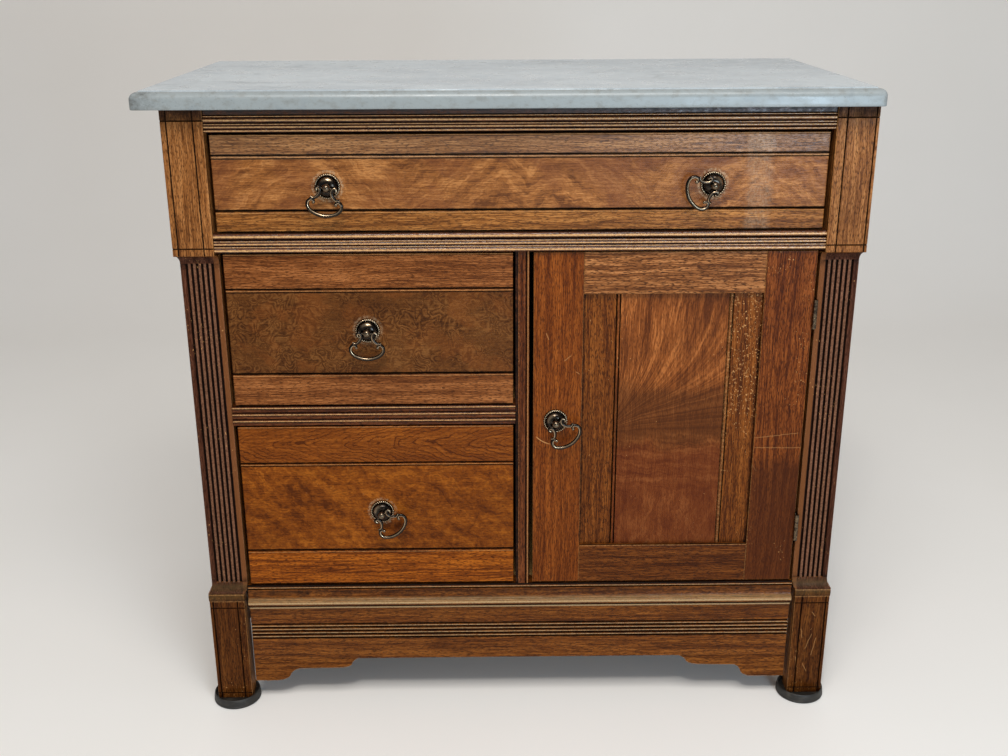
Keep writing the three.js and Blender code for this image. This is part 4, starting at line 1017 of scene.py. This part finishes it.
def drawer_front(drawer, top_band, bottom_band, materials, seed):
    """A front with a band above and below its field; the materials go from the top down."""
    node = f"{drawer}_front"
    low, high = case_box(node)
    nose_height, arris_height = 2.4, 2.2
    upper = [bead(nose_height, 0, 1.6, 6), flat(top_band - nose_height, 0, 0.1, 0.5, 0.3),
             groove(2.2, 0, 2.2), bead(2.4, 0, 0.8, 6), groove(1, FIELD_SET_BACK, 0.8)]
    lower = [groove(3, FIELD_SET_BACK, 3), bead(arris_height, 0, 0.6, 6),
             flat(bottom_band - arris_height, 0, 0.0, 0.5, 0.3)]
    field = high[2] - low[2] - height_of(upper) - height_of(lower)
    rows = moulding_rows([*upper, flat(field, FIELD_SET_BACK, 0.5, 0.6), *lower], high[2])
    field_top = high[2] - height_of(upper)
    field_bottom = low[2] + height_of(lower)

    def zone(j):
        level = (rows[j][0] + rows[j + 1][0]) / 2
        if level > field_top:
            return 0
        return 1 if level > field_bottom else 2

    shape = Shape()
    moulded_board(shape, rows, low[0], high[0], DRAWER_SET_BACK, DRAWER_SET_BACK + DRAWER_FRONT, seed, 1.0,
                  7.0, zone, 0.7)
    make_piece(f"front_of_{drawer}", shape, materials, drawer, [node], sharp=50)


drawer_front("top_drawer", 21.6, 21.6, [TOP_BAND, TOP_FIELD, TOP_LOW_BAND], 11.0)
drawer_front("upper_drawer", 40.6, 37, [UPPER_BAND, UPPER_FIELD, UPPER_BAND], 12.0)
drawer_front("lower_drawer", 46.6, 44.6, [LOWER_BAND, LOWER_FIELD, LOWER_LOW_BAND], 13.0)


# Partition with a beaded edge
def partition():
    low, high = case_box("partition")
    left, right = low[0], high[0]
    face = 6.5
    bottom, top = 169.6, 598.7
    # From the drawers' side: a groove and a crest. From the door's side: a bead and a groove.
    groove_end, crest_end = 3.0, 3.5
    half_bead, bead_end, door_groove_end = 1.5, 3.0, 4.4
    columns = [left + d for d in (0, 0.4, 1.2, 2.2, 2.9, 3.1, 3.4)]
    columns += [right - d for d in (8, 6, 5, 4.5, 4.3, 4.0, 3.7, 3.4, 3.1, 3.0, 2.7, 2.2, 1.5, 0.8, 0.3, 0)]

    def surface(x, z):
        from_left = x - left
        from_right = right - x
        grime_and_shade, crest, drop = 0.0, 0.0, 0.0
        # Both grooves are darkened: grime and painted shade
        if from_left < groove_end:
            drop, grime_and_shade = 1.2, 0.7
        elif from_left < crest_end:
            crest = 0.6
        if bead_end < from_right < door_groove_end:
            drop, grime_and_shade = 3.0, 1.0
        elif from_right <= bead_end:
            middle = abs(from_right - half_bead) / half_bead
            drop = 1.1 * (1 - math.sqrt(max(0.0, 1 - middle * middle)))
            crest = 1 - middle
        dent = nick(z, x * 2, 21.0) * 0.5 * crest
        return (x, face + drop + dent, z, grime_and_shade, crest)

    shape = Shape()
    relief_board(shape, columns, with_rounded_ends(bottom, top, 8, 0.8), surface, FRONT_THICKNESS, None,
                 lambda x: 0.9)
    # The board behind the front, between the cupboard's floor and the runner board over it
    arris, grime_and_shade = 0.1, 0.1
    z0 = case_box("floor_board")[1][2]
    z1 = case_box("runner_board_top")[0][2]

    def plain(x, z):
        edge = min(x - left, right - x, z - z0, z1 - z)
        return (x, FRONT_THICKNESS + rounding(edge, arris), z, grime_and_shade, max(0.0, 0.6 - edge / 2.5))

    relief_board(shape, with_rounded_ends(left, right, 40, arris), with_rounded_ends(z0, z1, 40, arris),
                 plain, high[1], None, lambda x: grime_and_shade)
    make_piece("divided_front", shape, [PARTITION_WOOD], "case", ["partition"])


partition()


# Door
def door():
    for name, node, material, number in (
            ("latch_side", "door_latch_stile", LATCH_WOOD, 31.0),
            ("hinge_side", "door_hinge_stile", HINGE_STILE_WOOD, 32.0),
            ("door_head", "door_top_rail", DOOR_TOP_WOOD, 33.0),
            ("door_sill", "door_bottom_rail", DOOR_BOTTOM_WOOD, 34.0)):
        low, high = case_box(node)
        columns = with_rounded_ends(low[0], high[0], 8, ARRIS)
        rows = with_rounded_ends(low[2], high[2], 12, ARRIS)

        def surface(x, z):
            edge = min(x - low[0], high[0] - x, z - low[2], high[2] - z)
            wave = 0.12 * smooth_noise(x, z, number * 7, 60)
            worn = max(0.0, 0.8 - edge / 2.2)
            dent = nick(x + z, x - z, number) * 0.4 * worn
            return (x, low[1] + rounding(edge, ARRIS) + wave + dent, z, worn * 0.45, worn)

        shape = Shape()
        relief_board(shape, columns, rows, surface, high[1], None, lambda x: 0.8)
        make_piece(name, shape, [material], "door", [node])
    latch = case_box("door_latch_stile")
    left, right = latch[1][0], case_box("door_hinge_stile")[0][0]
    bottom, top = case_box("door_bottom_rail")[1][2], case_box("door_top_rail")[0][2]
    # Each joint of two boards has a bead, with an incised line on both sides of it
    joints = [latch[0][0] + across for across in (99.3, 231.2)]
    half_bead = 2.1
    lines = [joint + side * half_bead for joint in joints for side in (-1, 1)]
    low, high = case_box("door_panel")
    columns = near_lines(lines, low[0], high[0], 8)
    rows = spread(low[2], high[2], 14)

    def panel_surface(x, z):
        # The incised lines are darkened, and the panel darkens towards the frame round it: grime and painted
        # shade
        drop = max(line_drop(x - line, 1.9, 1.8) for line in lines)
        inside = min(x - left, right - x, z - bottom, top - z)
        corner = max(0.0, 0.75 - inside / 4.5)
        on_worn_bead = abs(x - joints[1]) < 2.4
        wave = 0.15 * smooth_noise(x, z, 50, 70)
        return (x, low[1] + drop + wave, z, max(min(1.0, drop) * (0.5 if on_worn_bead else 1.0), corner),
                0.62 if on_worn_bead else 0.0)

    shape = Shape()
    relief_board(shape, columns, rows, panel_surface, high[1])
    middles = [sum(shape.points[i][0] for i in corners) / len(corners) for corners in shape.faces]
    shape.zones = [sum(x >= joint for joint in joints) for x in middles]
    make_piece("three_boards", shape, [BOARD_LEFT_WOOD, BOARD_MIDDLE_WOOD, BOARD_RIGHT_WOOD], "door",
               ["door_panel"])


door()


# Pulls
def lathe(shape, profile, steps, ripple=None):
    """A turned form round the Y axis: profile points are (radius, stand-off, grime and shade, wear and
    painted light).
    """
    rings = []
    for number, (radius, stand, grime_and_shade, wear_and_painted_light) in enumerate(profile):
        if radius < 1e-6:
            rings.append([shape.point(0, -stand, 0, grime_and_shade, wear_and_painted_light)])
            continue
        ring = []
        for i in range(steps):
            angle = 2 * math.pi * i / steps
            wide, high, dark = ripple(number, angle) if ripple else (0, 0, 0)
            ring.append(shape.point((radius + wide) * math.cos(angle), -(stand + high),
                                    (radius + wide) * math.sin(angle), grime_and_shade + dark, wear_and_painted_light - dark))
        rings.append(ring)
    for first, second in zip(rings, rings[1:]):
        if len(first) == 1 or len(second) == 1:
            single, ring = (first, second) if len(first) == 1 else (second, first)
            for i in range(steps):
                shape.face((single[0], ring[i], ring[(i + 1) % steps]))
        else:
            shape.strip(first, second)


ROSETTE_RADIUS = 14.5
RIM_HEIGHT = 2.8
DOME_HEIGHT = 7.6
POST_RADIUS = 3.2
BALL_RADIUS = 4.7
STAND_OFF = 12.5
ROPE_TURNS = 34


def rosette():
    r = ROSETTE_RADIUS
    profile = [(0, 0, 1, 0), (r - 0.3, 0, 1, 0), (r, 0.4, 0.5, 0)]
    rope_first = len(profile)
    for i in range(7):
        angle = math.pi * i / 6
        profile.append((r - 1.35 + 1.2 * math.cos(angle), 1.5 + 1.3 * math.sin(angle), 0.2,
                        0.9 * math.sin(angle)))
    rope_last = len(profile) - 1
    profile += [(r - 2.7, RIM_HEIGHT * 0.5, 1, 0), (r - 3.1, RIM_HEIGHT * 0.55, 0.8, 0)]
    dome_first = len(profile)
    for i in range(13):
        angle = math.pi / 2 * i / 12
        profile.append((POST_RADIUS + 0.6 + (r - 3.8 - POST_RADIUS) * math.cos(angle) ** 0.9,
                        RIM_HEIGHT * 0.6 + (DOME_HEIGHT - RIM_HEIGHT * 0.6) * math.sin(angle), 0.0,
                        0.2 * math.sin(angle)))
    dome_last = len(profile) - 1
    neck = math.asin(POST_RADIUS / BALL_RADIUS)
    for i in range(11):
        angle = math.pi - neck - (math.pi - neck) * i / 10
        profile.append((BALL_RADIUS * math.sin(angle), STAND_OFF + BALL_RADIUS * math.cos(angle),
                        0.6 if i < 2 else 0.0, 0.55))
    profile[-1] = (0, profile[-1][1], 0, 0.6)

    def ripple(number, angle):
        if rope_first < number < rope_last:
            twist = math.cos(ROPE_TURNS * angle + (number - rope_first) * 0.8)
            return (0.14 * twist, 0.2 * twist, 0.6 if twist < -0.2 else -0.3)
        # A painted highlight on the upper part of the dome: less grime, more wear
        if dome_first <= number <= dome_last:
            from_top = abs(angle - math.radians(100)) / math.radians(65)
            up_dome = (number - dome_first) / (dome_last - dome_first)
            return (0, 0, -0.6 * max(0.0, 1 - from_top ** 2) * math.sin(math.pi * min(up_dome * 1.1, 1.0)))
        return (0, 0, 0)

    shape = Shape()
    lathe(shape, profile, 136, ripple)
    return shape


def smooth_path(points):
    """A smooth line through points."""
    path = []
    for i in range(len(points) - 1):
        before = points[max(i - 1, 0)]
        start, end = points[i], points[i + 1]
        after = points[min(i + 2, len(points) - 1)]
        for t in evenly(0, 1, 8)[:-1]:
            path.append(tuple(0.5 * (2 * b + (c - a) * t + (2 * a - 5 * b + 4 * c - d) * t * t
                                     + (3 * b - a - 3 * c + d) * t ** 3)
                              for a, b, c, d in zip(before, start, end, after)))
    path.append(tuple(points[-1]))
    return path


def tube(shape, path, radius_at):
    """A rod along a path in the XZ plane, at the bail's stand-off, with a painted highlight along a narrow
    line and painted shade on its back half.
    """
    sides = 16
    rings = []
    count = len(path)
    for i, (x, z) in enumerate(path):
        before = path[max(i - 1, 0)]
        after = path[min(i + 1, count - 1)]
        run = Vector((after[0] - before[0], after[1] - before[1])).normalized()
        radius = radius_at(i / (count - 1))
        ring = []
        for k in range(sides):
            angle = 2 * math.pi * k / sides
            side = radius * math.cos(angle)
            front = radius * math.sin(angle)
            # Painted shade on the back half, which faces the drawer, and a painted highlight along a narrow
            # line on the front
            ring.append(shape.point(x - run.y * side, -STAND_OFF - front, z + run.x * side,
                                    0.8 * max(0.0, 0.1 - math.sin(angle)),
                                    0.95 * max(0.0, math.sin(angle - 0.4)) ** 12))
        rings.append(ring)
    for first, second in zip(rings, rings[1:]):
        shape.strip(first, second)
    shape.face(tuple(rings[0]))
    shape.face(tuple(rings[-1]))


def ball(shape, x, z, radius):
    rows, columns = 8, 14
    rings = []
    turns = [2 * math.pi * k / columns for k in range(columns)]
    for i in range(1, rows):
        angle = math.pi * i / rows
        rings.append([shape.point(x + radius * math.sin(angle) * math.cos(turn),
                                  -STAND_OFF + radius * math.sin(angle) * math.sin(turn),
                                  z + radius * math.cos(angle), 0, 0.6) for turn in turns])
    top = shape.point(x, -STAND_OFF, z + radius, 0, 0.6)
    bottom = shape.point(x, -STAND_OFF, z - radius, 0, 0.3)
    for first, second in zip(rings, rings[1:]):
        shape.strip(first, second)
    for k in range(columns):
        after = (k + 1) % columns
        shape.face((top, rings[0][k], rings[0][after]))
        shape.face((bottom, rings[-1][after], rings[-1][k]))


# Half a bail as (x, z) from its pivot: the scroll beside the ball, and the grip to its middle
SCROLL = [(10.6, -3.4), (11.3, -1.2), (9.6, 0.3), (7.3, -0.8), (6.4, -4.2), (7.6, -8), (10, -10.9),
          (12.0, -12.3), (14.2, -12.4), (16.4, -11.2)]
GRIP = [(12.4, -17.2), (13.2, -14.9), (15.8, -14.2), (18.4, -16.5), (19.2, -20.0), (17.9, -23.7),
        (13.8, -27.6), (7.5, -30.3), (0, -31.4)]


def bail():
    shape = Shape()
    bar = SCROLL[3][0] - 0.2
    tube(shape, [(-bar, 0), (0, 0), (bar, 0)], lambda share: 1.0)
    for side in (1, -1):
        tube(shape, smooth_path([(side * x, z) for x, z in SCROLL]),
             lambda share: 1.65 + 0.4 * math.sin(math.pi * share) - 0.4 * share ** 4)
    grip = GRIP + [(-x, z) for x, z in reversed(GRIP[:-1])]
    tube(shape, smooth_path(grip), lambda share: 1.75 + 0.5 * math.sin(math.pi * share))
    for (x, z), radius in ((SCROLL[0], 1.6), (GRIP[0], 2.1)):
        for side in (1, -1):
            ball(shape, side * x, z, radius)
    return shape


def pull(node, body, bail_body, turn):
    """A rosette on a body and a bail on its own, both turned by an angle in degrees."""
    centre_x, centre_z = pull_centre(node)
    face = case_box(f"{node}_rosette")[0][1] + STAND_OFF + BALL_RADIUS
    angle = math.radians(turn)

    def placed(point):
        x, y, z = point
        return (centre_x + x * math.cos(angle) - z * math.sin(angle), face + y,
                centre_z + x * math.sin(angle) + z * math.cos(angle))

    make_piece(f"{node}_plate", rosette(), [BRONZE], body, [f"{node}_rosette"], placed=placed)
    make_piece(f"{node}_handle", bail(), [BRONZE], bail_body, [f"{node}_bail"], placed=placed)


pull("top_drawer_left", "top_drawer", "top_left_bail", -8.5)
pull("top_drawer_right", "top_drawer", "top_right_bail", -66)
pull("upper_drawer", "upper_drawer", "upper_drawer_bail", -1)
pull("lower_drawer", "lower_drawer", "lower_drawer_bail", 42)
pull("door", "door", "door_bail", 38.5)


# Rubber cups
def cup(word):
    node = f"foot_cup_{word}"
    low, high = case_box(node)
    centre_x = (low[0] + high[0]) / 2
    centre_y = (low[1] + high[1]) / 2
    radius = (high[0] - low[0]) / 2 - 0.6
    # Inset from the widest radius, and height
    wall = [(2.4, 0), (1, 0.3), (0.3, 0.9), (0, 1.8), (0, 3), (0.4, 3.4), (0.4, 4.0), (0.1, 4.4), (0.5, 7.4),
            (1, 10.6), (1.4, 11.6), (1.9, 12), (2.4, 11.8), (2.8, 11.2), (3.5, CUP_FLOOR)]
    profile = [(0, 0), *((radius - inset, height) for inset, height in wall), (0, CUP_FLOOR)]
    shape = Shape()
    lathe(shape, [(r, h, 0, 0) for r, h in profile], 64)
    make_piece(f"cup_{word}", shape, [RUBBER], "case", [node],
               placed=lambda p: (centre_x + p[0], centre_y + p[2], -p[1]))


for word in ("front_left", "front_right", "rear_left", "rear_right"):
    cup(word)


# The CAD nodes that stay: a better material, and eased edges
def dress(node, material, easing=0.0008):
    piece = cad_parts[node]
    piece.data.materials.clear()
    piece.data.materials.append(material)
    weld = piece.modifiers.new("weld", "WELD")
    weld.merge_threshold = 0.00001
    bevel = piece.modifiers.new("eased edges", "BEVEL")
    bevel.width = easing
    bevel.segments = 2
    bevel.limit_method = "ANGLE"
    bevel.angle_limit = math.radians(40)


for word in ("left", "right"):
    dress(f"rear_post_{word}", SIDE_WOOD)
    dress(f"side_top_rail_{word}", SIDE_RAIL_WOOD)
    dress(f"side_base_rail_{word}", SIDE_RAIL_WOOD)
    dress(f"side_panel_{word}", SIDE_PANEL_WOOD)
dress("back_panel", BACK_WOOD)
for node in ("runner_board_top", "runner_board_middle", "floor_board"):
    dress(node, INSIDE_WOOD)
for drawer in ("top", "upper", "lower"):
    for part in ("side_left", "side_right"):
        dress(f"{drawer}_drawer_{part}", DRAWER_SIDE_WOOD, 0.0005)
    for part in ("back", "bottom"):
        dress(f"{drawer}_drawer_{part}", INSIDE_WOOD, 0.0005)
for level in ("upper", "lower"):
    for leaf in ("frame", "door"):
        dress(f"hinge_{level}_{leaf}_leaf", HINGE_BRONZE, 0.0002)


# Floor and backdrop in one sweep
def backdrop():
    g = Graph("pale_backdrop")
    tint = g.mix(g.noise(g.metres, 1 / 3), "#f3efe9", "#f7f3ee")
    material = g.finish(tint, 0.8, specular=0.2)
    half, wall, radius, height = 6.0, 2.2, 0.8, 4.0
    section = [(-half, 0.0), (wall - radius, 0.0)]
    for i in range(1, 13):
        angle = math.pi / 2 * i / 12
        section.append((wall - radius + radius * math.sin(angle), radius * (1 - math.cos(angle))))
    section.append((wall, height))
    mesh = bpy.data.meshes.new("sweep")
    points = [(side * half, y, z) for y, z in section for side in (-1, 1)]
    faces = [(2 * i, 2 * i + 1, 2 * i + 3, 2 * i + 2) for i in range(len(section) - 1)]
    mesh.from_pydata(points, [], faces)
    mesh.materials.append(material)
    mesh.shade_smooth()
    sweep = bpy.data.objects.new("sweep", mesh)
    bpy.context.scene.collection.objects.link(sweep)


backdrop()


# Lights
def area_light(name, place, target, size, energy, tint):
    data = bpy.data.lights.new(name, "AREA")
    data.shape = "RECTANGLE"
    data.size, data.size_y = size
    data.energy = energy
    data.color = tint
    lamp = bpy.data.objects.new(name, data)
    bpy.context.scene.collection.objects.link(lamp)
    lamp.location = place
    lamp.rotation_euler = (Vector(target) - Vector(place)).to_track_quat("-Z", "Y").to_euler()


area_light("overhead", (0.1, -1.3, 2.5), (0, -0.1, 0.4), (1.5, 0.9), 34, (1.0, 0.98, 0.95))
area_light("window", (0.85, -2.3, 0.62), (0.15, -0.2, 0.6), (0.7, 0.4), 18, (0.58, 0.8, 1.0))
area_light("lamp", (-0.15, -1.7, 2.3), (0, -0.2, 0.5), (0.24, 0.24), 12, (1.0, 0.97, 0.92))
world = bpy.data.worlds.new("room")
bpy.context.scene.world = world
world.use_nodes = True
world.node_tree.nodes["Background"].inputs["Color"].default_value = (0.95, 0.97, 1.0, 1.0)
world.node_tree.nodes["Background"].inputs["Strength"].default_value = 0.37

# Camera, fitted to the photograph
CAMERA_PLACE = (-0.02652, -1.4724, 0.9078)
PITCH = math.radians(19.631)
YAW = math.radians(0.551)
ROLL = math.radians(-0.245)
forward = Vector((math.sin(YAW) * math.cos(PITCH), math.cos(YAW) * math.cos(PITCH), -math.sin(PITCH)))
level_right = Vector((math.cos(YAW), -math.sin(YAW), 0))
level_up = level_right.cross(forward)
right = math.cos(ROLL) * level_right + math.sin(ROLL) * level_up
up = -math.sin(ROLL) * level_right + math.cos(ROLL) * level_up
camera_data = bpy.data.cameras.new("camera")
camera_data.sensor_fit = "HORIZONTAL"
camera_data.sensor_width = 36
camera_data.lens = 41.55
camera = bpy.data.objects.new("camera", camera_data)
bpy.context.scene.collection.objects.link(camera)
turn = Matrix((right, up, -forward)).transposed()
camera.matrix_world = Matrix.Translation(CAMERA_PLACE) @ turn.to_4x4()
bpy.context.scene.camera = camera
bpy.context.scene.view_settings.view_transform = "Standard"
